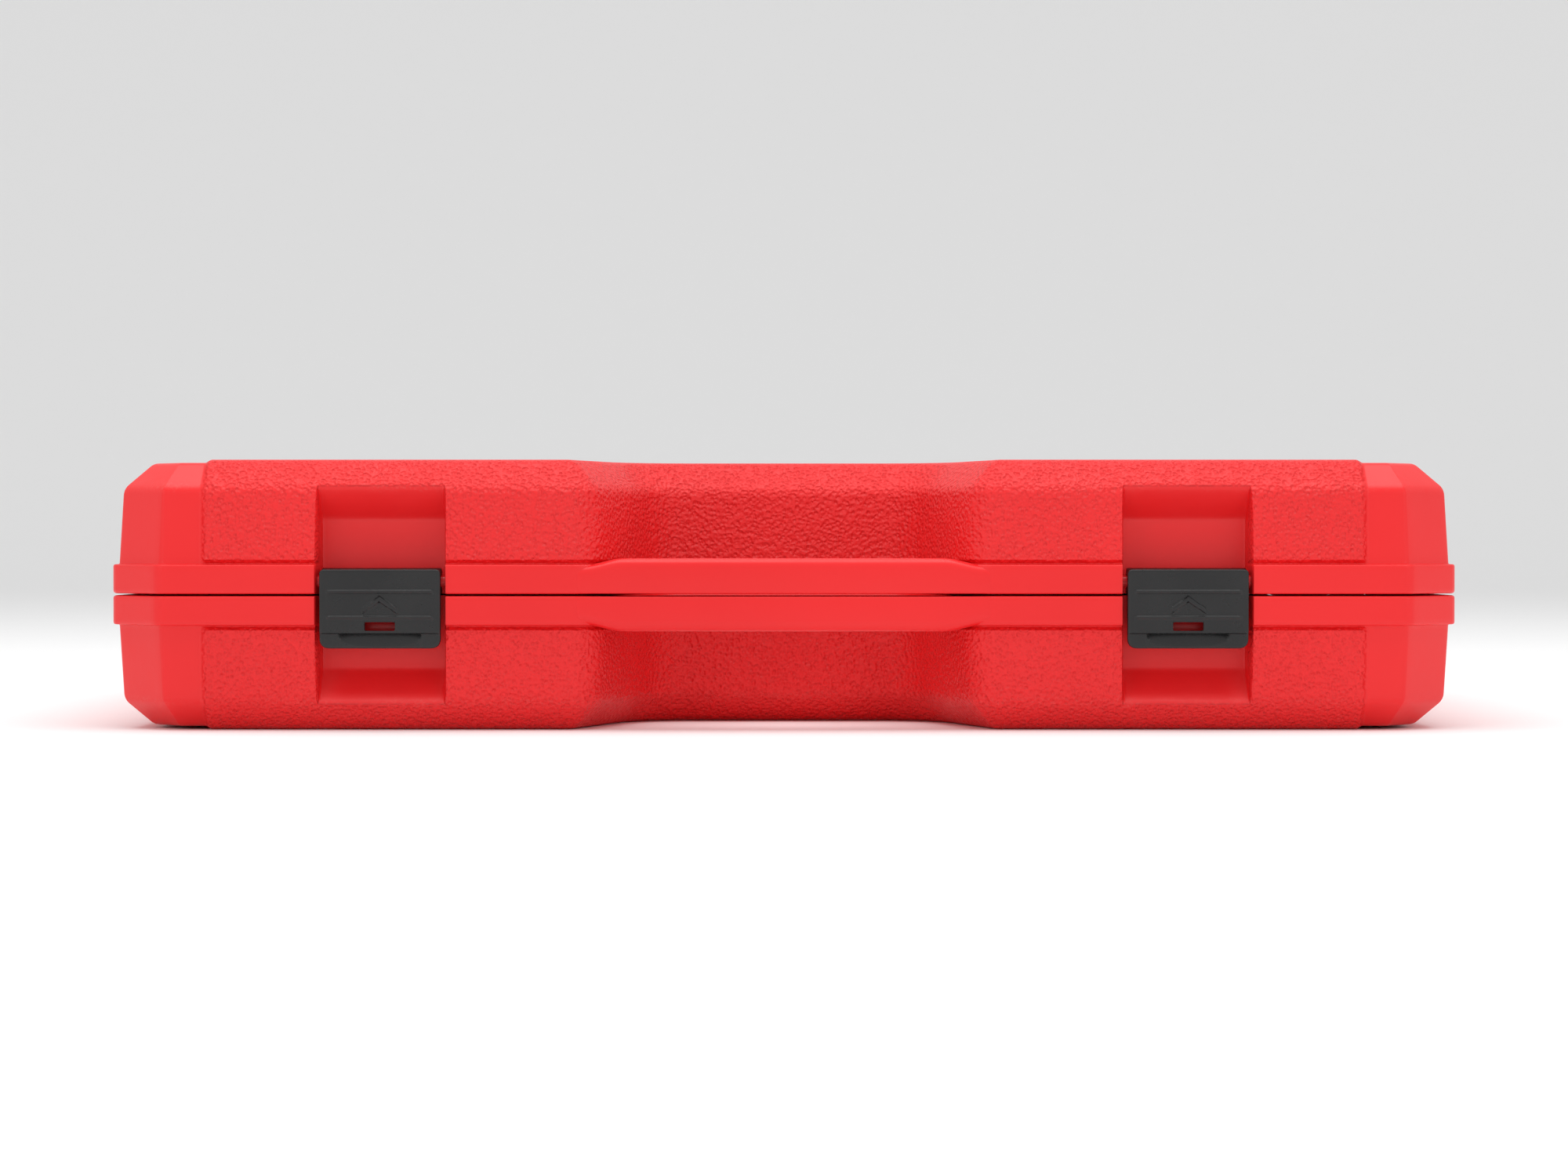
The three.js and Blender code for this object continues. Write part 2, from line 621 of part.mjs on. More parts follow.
// The ratchet's pocket: its head with the drive square below it, and its handle.
function ratchetPocket(grow) {
  const margin = POCKET_GAP + grow;
  const [x, y] = [RATCHET_X, RATCHET_Y];
  const floor = RATCHET_HEAD_TOP - RATCHET_HEAD_THICKNESS - margin;
  const head = rod(RATCHET_HEAD_RADIUS + margin, 1 - floor, "z", [x, y, floor], HEAD_SIDES);
  const neckX = x + RATCHET_PAWL_X;
  const neck = rod(RATCHET_NECK_RADIUS + margin, 1 - floor, "z", [neckX, y, floor], HEAD_SIDES);
  const deep = floor - DRIVE_LENGTH;
  const square = rod(GEAR_COLLAR_RADIUS + margin, DRIVE_LENGTH + 1, "z", [x, y, deep]);
  const handle = { axis: "x", x, y, sections: [[0, RATCHET_LENGTH, GRIP_RADIUS]] };
  return [head, neck, square, ...trough(handle, grow)];
}

function trayPockets(grow) {
  return [...LYING_TOOLS.flatMap((tool) => trough(tool, grow)), ...ratchetPocket(grow)];
}

function breather(side) {
  const depth = 3 * SKIN;
  const [x, y] = [BAND_PITCH, BACK_Y - RIM_WIDTH / 2];
  return rod(BREATHER_RADIUS, depth, "z", [x, y, side > 0 ? 0 : -depth], SMALL_SIDES);
}

// Each half is a double wall: the outside, less the room for the tools, less the air between the walls.
function caseHalf(side) {
  const hollow = side > 0 ? LID_HOLLOW : TRAY_DROP;
  const pockets = side > 0 ? [] : trayPockets(0);
  const walls = side > 0 ? [] : trayPockets(SKIN);
  const air = loft([
    [plan(WALL_FOOT + SKIN), side * (PARTING_GAP / 2 + SKIN)],
    [plan(WALL_FOOT + SKIN), side * FLANGE_HEIGHT],
    [plan(WALL_TOP + SKIN), side * (WALL_HEIGHT - SKIN / 2)],
    [plan(FACE_EDGE + SKIN), side * (SKIN_HEIGHT - SKIN)],
  ]);
  const latches = LATCH_PLACES.map(([, x]) => latchPocket(side, x, SKIN));
  const gap = cut(air, room(side, RIM_WIDTH - SKIN, hollow + SKIN), ...walls, ...latches);
  return cut(outside(side), room(side, RIM_WIDTH, hollow), ...pockets, gap, breather(side));
}

// ---------------------------------------------------------------- latches

function latch(x) {
  const face = FRONT_Y - LATCH_PROUD;
  const inner = face + LATCH_PLATE;
  const half = LATCH_WIDTH / 2;
  const split = LATCH_LIP - LATCH_BOTTOM;
  const plate = box(x - half, x + half, face, inner, split, LATCH_TOP);
  const lip = box(x - half, x + half, face + LATCH_LIP_INSET, inner, -LATCH_BOTTOM, split + 1);
  const bore = LATCH_BAR_RADIUS + LATCH_CLEARANCE;
  const clawRadius = bore + LATCH_CLAW;
  const claw = rod(clawRadius, LATCH_WIDTH, "x", [x - half, LATCH_AXIS_Y, LATCH_BAR_HEIGHT]);
  const web = [LATCH_BAR_HEIGHT - LATCH_CLAW, LATCH_BAR_HEIGHT + LATCH_CLAW];
  const arm = box(x - half, x + half, inner - 1, LATCH_AXIS_Y, ...web);
  const barRoom = rod(bore, LATCH_WIDTH + 2, "x", [x - half - 1, LATCH_AXIS_Y, LATCH_BAR_HEIGHT]);
  const snap = LATCH_BAR_RADIUS - LATCH_CLEARANCE;
  const mouth = [LATCH_BAR_HEIGHT - snap, LATCH_BAR_HEIGHT + snap];
  const opening = box(x - half - 1, x + half + 1, LATCH_AXIS_Y, LATCH_AXIS_Y + 2 * clawRadius, ...mouth);
  const hookTop = -CATCH_BOTTOM;
  const hookTip = CATCH_TIP_Y - LATCH_CLEARANCE;
  const hookHalf = CATCH_WIDTH / 2;
  const hook = box(x - hookHalf, x + hookHalf, inner - 1, hookTip, hookTop - LATCH_PLATE, hookTop);
  const slotHalf = LATCH_SLOT_WIDTH / 2;
  const slotLow = -CATCH_TOP - LATCH_SLOT_HEIGHT;
  const slot = box(x - slotHalf, x + slotHalf, face - 1, inner + 1, slotLow, -CATCH_TOP);
  return cut(join(plate, lip, cut(join(claw, arm), barRoom, opening), hook), slot);
}

// ---------------------------------------------------------------- tools

function squareAlong(axis, place, from, to, side) {
  const [x, y, z] = place;
  const s = side / 2;
  if (axis === "x") return box(x + from, x + to, y - s, y + s, z - s, z + s);
  return box(x - s, x + s, y + from, y + to, z - s, z + s);
}

// Everything below lies along Y from its nut end, or along X from its socket end.
const lie = (tool) => [tool.x, tool.y, -TOOL_DEPTH];

function socket(tool) {
  const [flats, nutDiameter, driveDiameter, length] = tool.size;
  const [nut, drive] = [nutDiameter / 2, driveDiameter / 2];
  const nutDepth = flats * NUT_DEPTH_SHARE + EDGE;
  const shoulder = Math.min(length - DRIVE_LENGTH, nutDepth + SHOULDER_RUN);
  const profile = [
    [0, 0],
    [nut - EDGE, 0],
    [nut, EDGE],
    [nut, shoulder],
    [drive, shoulder + Math.abs(nut - drive) + EDGE],
    [drive, length - EDGE],
    [drive - EDGE, length],
    [0, length],
  ];
  const place = lie(tool);
  const [x, y, z] = place;
  const body = turnedAlong(profile, "y", place);
  const hexagon = prismY(polygon(flats + DRIVE_CLEARANCE, 6, x, z), y - 1, y + nutDepth);
  const bore = rod(Math.min(flats - 1, SOCKET_BORE) / 2, length, "y", place);
  const hole = DRIVE + 2 * DRIVE_CLEARANCE;
  return cut(body, hexagon, bore, squareAlong("y", place, length - DRIVE_LENGTH, length + 1, hole));
}

// A drive square with a spring ball let into one face, standing on the end of a bar.
function driveSquare(axis, place, from) {
  const square = squareAlong(axis, place, from - EDGE, from + DRIVE_LENGTH, DRIVE);
  const proud = DRIVE / 2 - BALL_RADIUS + BALL_PROUD;
  const at = from + DRIVE_LENGTH / 2;
  const [x, y, z] = place;
  const centre = axis === "x" ? [x + at, y, z + proud] : [x, y + at, z + proud];
  return join(square, solid(new THREE.SphereGeometry(BALL_RADIUS, 10, 6).translate(...centre)));
}

function extension(tool) {
  const length = tool.size;
  const [head, shaft] = [EXTENSION_HEAD / 2, EXTENSION_SHAFT / 2];
  const end = length - DRIVE_LENGTH;
  const profile = [
    [0, 0],
    [head - EDGE, 0],
    [head, EDGE],
    [head, EXTENSION_HEAD_LENGTH],
    [shaft, EXTENSION_HEAD_LENGTH + EXTENSION_TAPER],
    [shaft, end - EDGE],
    [shaft - EDGE, end],
    [0, end],
  ];
  const place = lie(tool);
  const body = join(turnedAlong(profile, tool.axis, place), driveSquare(tool.axis, place, end));
  const hole = DRIVE + 2 * DRIVE_CLEARANCE;
  return cut(body, squareAlong(tool.axis, place, -1, DRIVE_LENGTH, hole));
}

// The universal joint lies along Y: a socket yoke, a drive yoke a quarter turn on, and the block between.
function universalJoint(tool) {
  const [x, y, z] = lie(tool);
  const radius = UNIVERSAL_DIAMETER / 2;
  const middle = UNIVERSAL_LENGTH / 2;
  const reach = UNIVERSAL_BLOCK / 2 + 2 * FIT;
  const slot = UNIVERSAL_SLOT / 2;
  const ear = slot - FIT;
  const pinReach = radius - 1;
  const pin = (grow, axis, place) => rod(UNIVERSAL_PIN_RADIUS + grow, 2 * pinReach, axis, place);
  const pinX = (grow) => pin(grow, "x", [x - pinReach, y + middle, z]);
  const pinZ = (grow) => pin(grow, "z", [x, y + middle, z - pinReach]);
  const half = UNIVERSAL_BLOCK / 2;
  const cube = box(x - half, x + half, y + middle - half, y + middle + half, z - half, z + half);
  const yokeBody = (start, end) => {
    const profile = [[0, 0], [radius - EDGE, 0], [radius, EDGE], [radius, Math.abs(end - start)]];
    const axis = start < end ? "y" : "-y";
    return turnedAlong([...profile, [0, Math.abs(end - start)]], axis, [x, y + start, z]);
  };
  const width = { low: y + middle - reach - 1, high: y + middle + reach - 1 };
  const earsX = box(x - radius, x + radius, width.low, width.high, z - ear, z + ear);
  const slotX = box(x - slot, x + slot, y + middle - reach, width.high + 1, z - radius, z + radius);
  const earsZ = box(x - ear, x + ear, width.low + 2, width.high + 2, z - radius, z + radius);
  const slotZ = box(x - radius, x + radius, width.low + 1, y + middle + reach, z - slot, z + slot);
  const core = rod(radius, UNIVERSAL_LENGTH, "y", [x, y, z]);
  const hole = squareAlong("y", [x, y, z], -1, DRIVE_LENGTH, DRIVE + 2 * DRIVE_CLEARANCE);
  const socketEnd = join(yokeBody(0, middle - reach), core.intersect(earsX));
  const driveEnd = join(yokeBody(UNIVERSAL_LENGTH, middle + reach), core.intersect(earsZ));
  return {
    universal_socket_yoke: cut(socketEnd, slotX, pinX(FIT), hole),
    universal_drive_yoke: join(
      cut(driveEnd, slotZ, pinZ(FIT)),
      driveSquare("y", [x, y, z], UNIVERSAL_LENGTH),
    ),
    universal_cross: join(cube, pinX(0), pinZ(0)),
  };
}

// ---------------------------------------------------------------- ratchet, lying with its drive square down

const GEAR_FLOOR = RATCHET_HEAD_TOP - COVER_THICKNESS - GEAR_HEIGHT - 2 * FIT;
const HEAD_FLOOR = RATCHET_HEAD_TOP - RATCHET_HEAD_THICKNESS;
const COVER_FLOOR = RATCHET_HEAD_TOP - COVER_THICKNESS;
const PAWL_X = RATCHET_X + RATCHET_PAWL_X;

const upright = (radius, x, from, to, sides) => rod(radius, to - from, "z", [x, RATCHET_Y, from], sides);

// The head in plan: round over the gear, with a smaller round over the pawl.
function headShape(inset, from, to) {
  const nose = upright(RATCHET_HEAD_RADIUS - inset, RATCHET_X, from, to, HEAD_SIDES);
  return join(nose, upright(RATCHET_NECK_RADIUS - inset, PAWL_X, from, to, HEAD_SIDES));
}

function ratchetBody() {
  const place = [RATCHET_X, RATCHET_Y, -TOOL_DEPTH];
  const shank = rod(RATCHET_SHANK_RADIUS, RATCHET_LENGTH - 2 * EDGE, "x", place);
  const inner = headShape(EDGE, HEAD_FLOOR, RATCHET_HEAD_TOP);
  const head = join(inner, headShape(0, HEAD_FLOOR + EDGE, RATCHET_HEAD_TOP));
  return cut(
    join(head, shank),
    headShape(COVER_MARGIN, COVER_FLOOR - FIT, RATCHET_HEAD_TOP + 1),
    upright(GEAR_RADIUS + GEAR_CLEARANCE, RATCHET_X, GEAR_FLOOR - FIT, RATCHET_HEAD_TOP + 1, HEAD_SIDES),
    upright(GEAR_COLLAR_RADIUS + GEAR_CLEARANCE, RATCHET_X, HEAD_FLOOR - 1, RATCHET_HEAD_TOP + 1),
    upright(PAWL_ROOM, PAWL_X, GEAR_FLOOR - FIT, RATCHET_HEAD_TOP + 1),
    ...coverScrews((x, y) => screwHole(x, y, -1)),
  );
}

const screwFoot = (x, y, drop) => [x, y, RATCHET_HEAD_TOP + FIT - SCREW_LENGTH + drop];
const screwHole = (x, y, drop) =>
  rod(SCREW_RADIUS + FIT, SCREW_LENGTH + 2, "z", screwFoot(x, y, drop), SMALL_SIDES);

function coverScrews(make) {
  return COVER_SCREW_ANGLES.map((degrees) => {
    const angle = THREE.MathUtils.degToRad(degrees);
    const [x, y] = [COVER_SCREW_REACH * Math.cos(angle), COVER_SCREW_REACH * Math.sin(angle)];
    return make(RATCHET_X + x, RATCHET_Y + y);
  });
}

function coverScrew(x, y) {
  const profile = [
    [0, 0],
    [SCREW_RADIUS, 0],
    [SCREW_RADIUS, SCREW_LENGTH],
    [SCREW_HEAD_RADIUS, SCREW_LENGTH],
    [SCREW_HEAD_RADIUS, SCREW_LENGTH + SCREW_HEAD_HEIGHT],
    [0, SCREW_LENGTH + SCREW_HEAD_HEIGHT],
  ];
  return turnedAlong(profile, "z", screwFoot(x, y, 0));
}

function ratchetCover() {
  return cut(
    headShape(COVER_MARGIN + FIT, COVER_FLOOR, RATCHET_HEAD_TOP),
    upright(BUTTON_RADIUS + FIT, RATCHET_X, COVER_FLOOR - 1, RATCHET_HEAD_TOP + 1),
    upright(LEVER_STEM_RADIUS + FIT, PAWL_X, COVER_FLOOR - 1, RATCHET_HEAD_TOP + 1),
    ...coverScrews((x, y) => screwHole(x, y, 0)),
  );
}

// The toothed gear with its collar and drive square, hollow down the middle for the release button's stem.
function driveGear() {
  const outline = Array.from({ length: 2 * GEAR_TEETH }, (_, i) => {
    const radius = i % 2 ? GEAR_RADIUS : GEAR_RADIUS - GEAR_TOOTH;
    const angle = (i * Math.PI) / GEAR_TEETH;
    return [RATCHET_X + radius * Math.cos(angle), RATCHET_Y + radius * Math.sin(angle)];
  });
  const gearTop = GEAR_FLOOR + GEAR_HEIGHT;
  const squareFoot = HEAD_FLOOR - DRIVE_LENGTH;
  const s = DRIVE / 2;
  const collar = upright(GEAR_COLLAR_RADIUS, RATCHET_X, HEAD_FLOOR - FIT, gearTop);
  const tip = [
    [-s, -s],
    [s, -s],
    [s, s],
    [-s, s],
  ];
  const at = (size) => tip.map(([x, y]) => new THREE.Vector2(RATCHET_X + x * size, RATCHET_Y + y * size));
  const square = loft([
    [at(1 - DRIVE_BEVEL / s), squareFoot],
    [at(1), squareFoot + DRIVE_BEVEL],
    [at(1), HEAD_FLOOR],
  ]);
  const ballAt = [RATCHET_X + s - BALL_RADIUS + BALL_PROUD, RATCHET_Y, squareFoot + DRIVE_LENGTH / 2];
  const ball = solid(new THREE.SphereGeometry(BALL_RADIUS, 10, 6).translate(...ballAt));
  const stemFoot = BUTTON_FOOT - BUTTON_TRAVEL - FIT;
  const hollow = upright(BUTTON_STEM_RADIUS + FIT, RATCHET_X, stemFoot, gearTop + 1);
  return cut(join(prismZ(outline, GEAR_FLOOR, gearTop), collar, square, ball), hollow);
}

const BUTTON_FOOT = HEAD_FLOOR - DRIVE_LENGTH / 4;

function releaseButton() {
  const top = RATCHET_HEAD_TOP + BUTTON_HEIGHT;
  const stem = upright(BUTTON_STEM_RADIUS, RATCHET_X, BUTTON_FOOT, top - 1);
  const gearTop = GEAR_FLOOR + GEAR_HEIGHT;
  const knob = upright(BUTTON_RADIUS, RATCHET_X, gearTop + BUTTON_TRAVEL + FIT, top);
  return join(stem, knob);
}

// A thumb lever over the cover, and on the same stem the pawl beside the gear.
function reversingLever() {
  const low = RATCHET_HEAD_TOP + FIT;
  const high = low + LEVER_THICKNESS;
  const tab = LEVER_RADIUS / 2;
  return join(
    upright(LEVER_RADIUS, PAWL_X, low, high),
    box(PAWL_X, PAWL_X + LEVER_REACH, RATCHET_Y - tab, RATCHET_Y + tab, low, high),
    upright(LEVER_STEM_RADIUS, PAWL_X, PAWL_TOP + FIT - PAWL_KEY, low + 1),
  );
}

const PAWL_TOP = COVER_FLOOR - 2 * FIT;
const PAWL_KEY = 4; // how far the lever's stem goes into the pawl

function pawl() {
  const [deep, wide] = PAWL_HALF;
  const outline = [
    [PAWL_X - deep - 1, RATCHET_Y - wide],
    [PAWL_X + deep, RATCHET_Y - wide / 2],
    [PAWL_X + deep, RATCHET_Y + wide / 2],
    [PAWL_X - deep - 1, RATCHET_Y + wide],
    [PAWL_X - deep + 1, RATCHET_Y],
  ];
  const block = prismZ(outline, GEAR_FLOOR, PAWL_TOP);
  const keyHole = upright(LEVER_STEM_RADIUS + FIT, PAWL_X, PAWL_TOP - PAWL_KEY, PAWL_TOP + 1);
  return cut(block, keyHole);
}

function ratchetGrip() {
  const start = RATCHET_LENGTH - GRIP_LENGTH;
  const waist = GRIP_LENGTH / 2;
  const profile = [
    [0, 0],
    [GRIP_WAIST - GRIP_ROUND, 0],
    [GRIP_WAIST, GRIP_ROUND],
    [GRIP_WAIST, waist],
    [GRIP_RADIUS, waist + GRIP_SWELL],
    [GRIP_RADIUS, GRIP_LENGTH - GRIP_ROUND],
    [GRIP_RADIUS - GRIP_ROUND, GRIP_LENGTH],
    [0, GRIP_LENGTH],
  ];
  const place = [RATCHET_X + start, RATCHET_Y, -TOOL_DEPTH];
  const sleeve = turnedAlong(profile, "x", place);
  const bore = RATCHET_SHANK_RADIUS + FIT;
  const depth = GRIP_LENGTH - 2 * EDGE + FIT;
  return cut(sleeve, rod(bore, depth + 1, "x", [place[0] - 1, RATCHET_Y, -TOOL_DEPTH]));
}

// ---------------------------------------------------------------- the set

const RED = new THREE.MeshStandardMaterial({ color: 0xd91e26, roughness: 0.45 });
const BLACK = new THREE.MeshStandardMaterial({ color: 0x303030, roughness: 0.5 });
const CHROME = new THREE.MeshStandardMaterial({ color: 0xc8cacc, roughness: 0.18, metalness: 1 });
const STEEL = new THREE.MeshStandardMaterial({ color: 0x85878a, roughness: 0.4, metalness: 1 });

const lifted = new THREE.Group();
lifted.position.z = HALF_HEIGHT;

function place(name, body, material) {
  const mesh = new THREE.Mesh(geometryOf(body), material);
  mesh.name = name;
  lifted.add(mesh);
}

place("base_shell", caseHalf(-1), RED);
place("lid_shell", caseHalf(1), RED);
for (const [name, x] of HINGE_PLACES) place(`hinge_pin_${name}`, hingePin(x, 0), STEEL);
for (const [name, x] of LATCH_PLACES) place(`latch_${name}`, latch(x), BLACK);
for (const tool of LYING_TOOLS) {
  if (tool.kind === "socket") place(tool.name, socket(tool), CHROME);
  if (tool.kind === "extension") place(tool.name, extension(tool), CHROME);
  if (tool.kind === "universal") {
    for (const [name, body] of Object.entries(universalJoint(tool))) place(name, body, CHROME);
  }
}
place("ratchet_body", ratchetBody(), CHROME);
place("ratchet_cover", ratchetCover(), CHROME);
coverScrews(coverScrew).forEach((body, i) => place(`cover_screw_${i + 1}`, body, STEEL));
place("ratchet_grip", ratchetGrip(), BLACK);
place("drive_gear", driveGear(), CHROME);
place("pawl", pawl(), STEEL);
place("reversing_lever", reversingLever(), CHROME);
place("release_button", releaseButton(), STEEL);

const set = new THREE.Group();
set.add(lifted);

export default set;
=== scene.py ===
import functools
import json
import math

import bmesh
import bpy
import numpy as np
from mathutils import Matrix, Vector
from mathutils.geometry import delaunay_2d_cdt


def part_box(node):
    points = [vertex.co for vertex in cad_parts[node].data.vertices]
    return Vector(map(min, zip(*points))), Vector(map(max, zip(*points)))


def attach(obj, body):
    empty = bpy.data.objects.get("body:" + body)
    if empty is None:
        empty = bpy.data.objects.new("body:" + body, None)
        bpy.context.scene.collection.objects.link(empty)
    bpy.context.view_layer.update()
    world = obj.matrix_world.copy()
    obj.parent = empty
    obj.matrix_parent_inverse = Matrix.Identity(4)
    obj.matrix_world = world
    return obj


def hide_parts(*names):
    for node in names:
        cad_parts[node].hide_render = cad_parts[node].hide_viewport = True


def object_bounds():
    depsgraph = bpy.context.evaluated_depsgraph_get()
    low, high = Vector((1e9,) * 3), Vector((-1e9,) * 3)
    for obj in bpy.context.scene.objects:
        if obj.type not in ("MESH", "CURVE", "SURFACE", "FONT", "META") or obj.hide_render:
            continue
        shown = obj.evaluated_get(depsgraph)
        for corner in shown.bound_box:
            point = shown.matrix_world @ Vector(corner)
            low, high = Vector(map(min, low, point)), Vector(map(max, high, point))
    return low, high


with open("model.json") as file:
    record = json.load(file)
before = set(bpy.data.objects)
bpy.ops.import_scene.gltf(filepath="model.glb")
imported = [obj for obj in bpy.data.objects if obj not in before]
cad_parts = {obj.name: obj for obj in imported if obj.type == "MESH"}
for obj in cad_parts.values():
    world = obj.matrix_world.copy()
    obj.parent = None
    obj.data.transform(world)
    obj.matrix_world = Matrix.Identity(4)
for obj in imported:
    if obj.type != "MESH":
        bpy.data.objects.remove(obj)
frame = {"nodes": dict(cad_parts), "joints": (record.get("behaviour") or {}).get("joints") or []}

CAD_BOX = [list(corner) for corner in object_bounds()]

# ------------------------------------------------------------------ the frame, in millimetres

MM = 0.001
JOINTS = {joint["name"]: joint for joint in frame["joints"]}


def millimetres(node):
    """A CAD node's lowest and highest corners in mm, with heights from the parting plane."""
    low, high = [Vector(corner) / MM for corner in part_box(node)]
    low.z -= PARTING
    high.z -= PARTING
    return low, high


PARTING = JOINTS["lid_hinge"]["pos_m"][2] / MM
LID_LOW, LID_HIGH = millimetres("lid_shell")
LATCH_LOW, LATCH_HIGH = millimetres("latch_right")
HINGE_Y = JOINTS["lid_hinge"]["pos_m"][1] / MM
HALF_WIDTH = LID_HIGH.x
HALF_HEIGHT = LID_HIGH.z
FRONT_Y = LID_LOW.y
LATCH_X = (LATCH_LOW.x + LATCH_HIGH.x) / 2
LATCH_AXIS_Y, LATCH_AXIS_Z = [v / MM for v in JOINTS["right_latch_hinge"]["pos_m"][1:]]
LATCH_AXIS_Z -= PARTING
FOOT_EDGE_Y = LID_HIGH.y
HINGE_OFFSET = 2.2
BACK_Y = HINGE_Y - HINGE_OFFSET

# ------------------------------------------------------------------ dimensions of the case

GAP = 0.3  # each flange's face from the parting plane
FLANGE = 9.5
WALL_FOOT = 1.95
WALL_TOP = 3.4
WALL_HEIGHT = 33.2
FACE_EDGE = 12.4
RAISE = 1.0
SMOOTH_TOP = HALF_HEIGHT - RAISE
TOP_RING = 15.5
RIM = 16
CORNER_CHAMFER = 17
CORNER_ROUND = 5
HANDLE_MOUTH, MOUTH_ROUND = 58, 12
HANDLE_FLOOR, FLOOR_ROUND = 40, 14
HANDLE_DEPTH = 55
BANDS = [i * 79.5 for i in (-2, -1, 0, 1, 2)]
BAND_HALF = 22
PANEL_HALF = BANDS[-1] + BAND_HALF
PANEL_BACK = FRONT_Y + 98
BAND_SLOPE = 2.2
POCKET_HALF = (LATCH_HIGH.x - LATCH_LOW.x) / 2 + 1
POCKET_DEPTH = 12
POCKET_FLOOR, POCKET_TOP = 23.7, 35
POCKET_EDGE = 1.2
HINGES = [-142.5, 0, 142.5]
KNUCKLE = 15.7
KNUCKLE_RADIUS = 3.5
NOTCH = 1.0
FOOT_PROUD = FOOT_EDGE_Y - BACK_Y
FOOT_START, FOOT_EDGE = 5, 33
FOOT_FACE = (23.7, 20)  # half widths, by the flange and at the standing edge
FOOT_ROOT = (24.6, 27.3)
LID_HOLLOW = 22
TRAY_DROP = 3
TOOL_Z = -8
POCKET_GAP = 0.7


def smoothstep(x, low, high):
    t = np.clip((np.asarray(x, dtype=float) - low) / (high - low), 0, 1)
    return t * t * (3 - 2 * t)


def soft_max(a, b, k):
    return (a + b + math.sqrt((a - b) ** 2 + k * k)) / 2


def soft_min(a, b, k):
    return -soft_max(-a, -b, k)


def lerp(a, b, t):
    return a + (b - a) * t


def raised(x, y):
    """1 on the grained panels, 0 on the smooth skin, with a slope between."""
    half = BAND_SLOPE / 2
    bands = sum(smoothstep(BAND_HALF - abs(x - band), -half, half) for band in BANDS)
    panel = smoothstep(PANEL_HALF - abs(x), -half, half) * smoothstep(PANEL_BACK - y, -half, half)
    return np.maximum(np.minimum(bands, 1), panel)


# ------------------------------------------------------------------ plan of the case

# Anticlockwise: x, y, rounding.
CORNERS = [
    (HANDLE_MOUTH, FRONT_Y, MOUTH_ROUND),
    (HALF_WIDTH - CORNER_CHAMFER, FRONT_Y, CORNER_ROUND),
    (HALF_WIDTH, FRONT_Y + CORNER_CHAMFER, CORNER_ROUND),
    (HALF_WIDTH, BACK_Y - CORNER_CHAMFER, CORNER_ROUND),
    (HALF_WIDTH - CORNER_CHAMFER, BACK_Y, CORNER_ROUND),
    (CORNER_CHAMFER - HALF_WIDTH, BACK_Y, CORNER_ROUND),
    (-HALF_WIDTH, BACK_Y - CORNER_CHAMFER, CORNER_ROUND),
    (-HALF_WIDTH, FRONT_Y + CORNER_CHAMFER, CORNER_ROUND),
    (CORNER_CHAMFER - HALF_WIDTH, FRONT_Y, CORNER_ROUND),
    (-HANDLE_MOUTH, FRONT_Y, MOUTH_ROUND),
    (-HANDLE_FLOOR, FRONT_Y + HANDLE_DEPTH, FLOOR_ROUND),
    (HANDLE_FLOOR, FRONT_Y + HANDLE_DEPTH, FLOOR_ROUND),
]
LEAST_ROUND = 0.6


class Corner:
    """One corner of the plan, which can be moved inwards and gives points on its rounding."""

    def __init__(self, index):
        here = Vector(CORNERS[index][:2])
        self.before = (here - Vector(CORNERS[index - 1][:2])).normalized()
        self.after = (Vector(CORNERS[(index + 1) % len(CORNERS)][:2]) - here).normalized()
        self.here = here
        self.round = CORNERS[index][2]
        self.left = Vector((-self.before.y, self.before.x))
        inward = self.left + Vector((-self.after.y, self.after.x))
        cosine = self.before.dot(self.after)
        self.slide = inward.normalized() / math.sqrt((1 + cosine) / 2)
        self.turn = math.acos(cosine)
        self.side = math.copysign(1, self.before.x * self.after.y - self.before.y * self.after.x)

    @functools.lru_cache(maxsize=None)
    def point(self, inset, fraction):
        radius = max(self.round - self.side * inset, LEAST_ROUND)
        start = self.here + self.slide * inset - self.before * (radius * math.tan(self.turn / 2))
        spoke = self.left * (self.side * radius)
        angle = self.side * self.turn * fraction
        turned = Vector((
            spoke.x * math.cos(angle) - spoke.y * math.sin(angle),
            spoke.x * math.sin(angle) + spoke.y * math.cos(angle),
        ))
        return start + spoke - turned


PLAN = [Corner(i) for i in range(len(CORNERS))]


def locate(station, inset):
    """Where a station round the plan lies once it is moved inwards."""
    kind, index, value = station
    inset = round(inset, 3)
    if kind == "arc":
        return PLAN[index].point(inset, value)
    start = PLAN[index].point(inset, 1)
    end = PLAN[(index + 1) % len(PLAN)].point(inset, 0)
    if kind == "share":
        return start.lerp(end, value)
    axis = 0 if kind == "x" else 1
    t = (value - start[axis]) / (end[axis] - start[axis])
    return start.lerp(end, min(max(t, 0.002), 0.998))


def around(edge, offsets):
    return [edge + o for o in offsets]


def front_columns():
    """Distances from the middle at which the front has columns of points."""
    slope = [-1.6, -1.1, -0.6, -0.2, 0.2, 0.6, 1.1, 1.6]
    wall = [-1.6, -0.8, -0.55, -0.35, -0.15, 0.05, 0.25, 0.45, 0.7, 1.6]
    columns = [72, 80, 90, 98, 112, 118, 133, 140, 152, 160, 170, 187]
    columns += around(PANEL_HALF, slope)
    for edge in (LATCH_X - POCKET_HALF, LATCH_X + POCKET_HALF):
        columns += around(edge, wall)
    return sorted(columns)


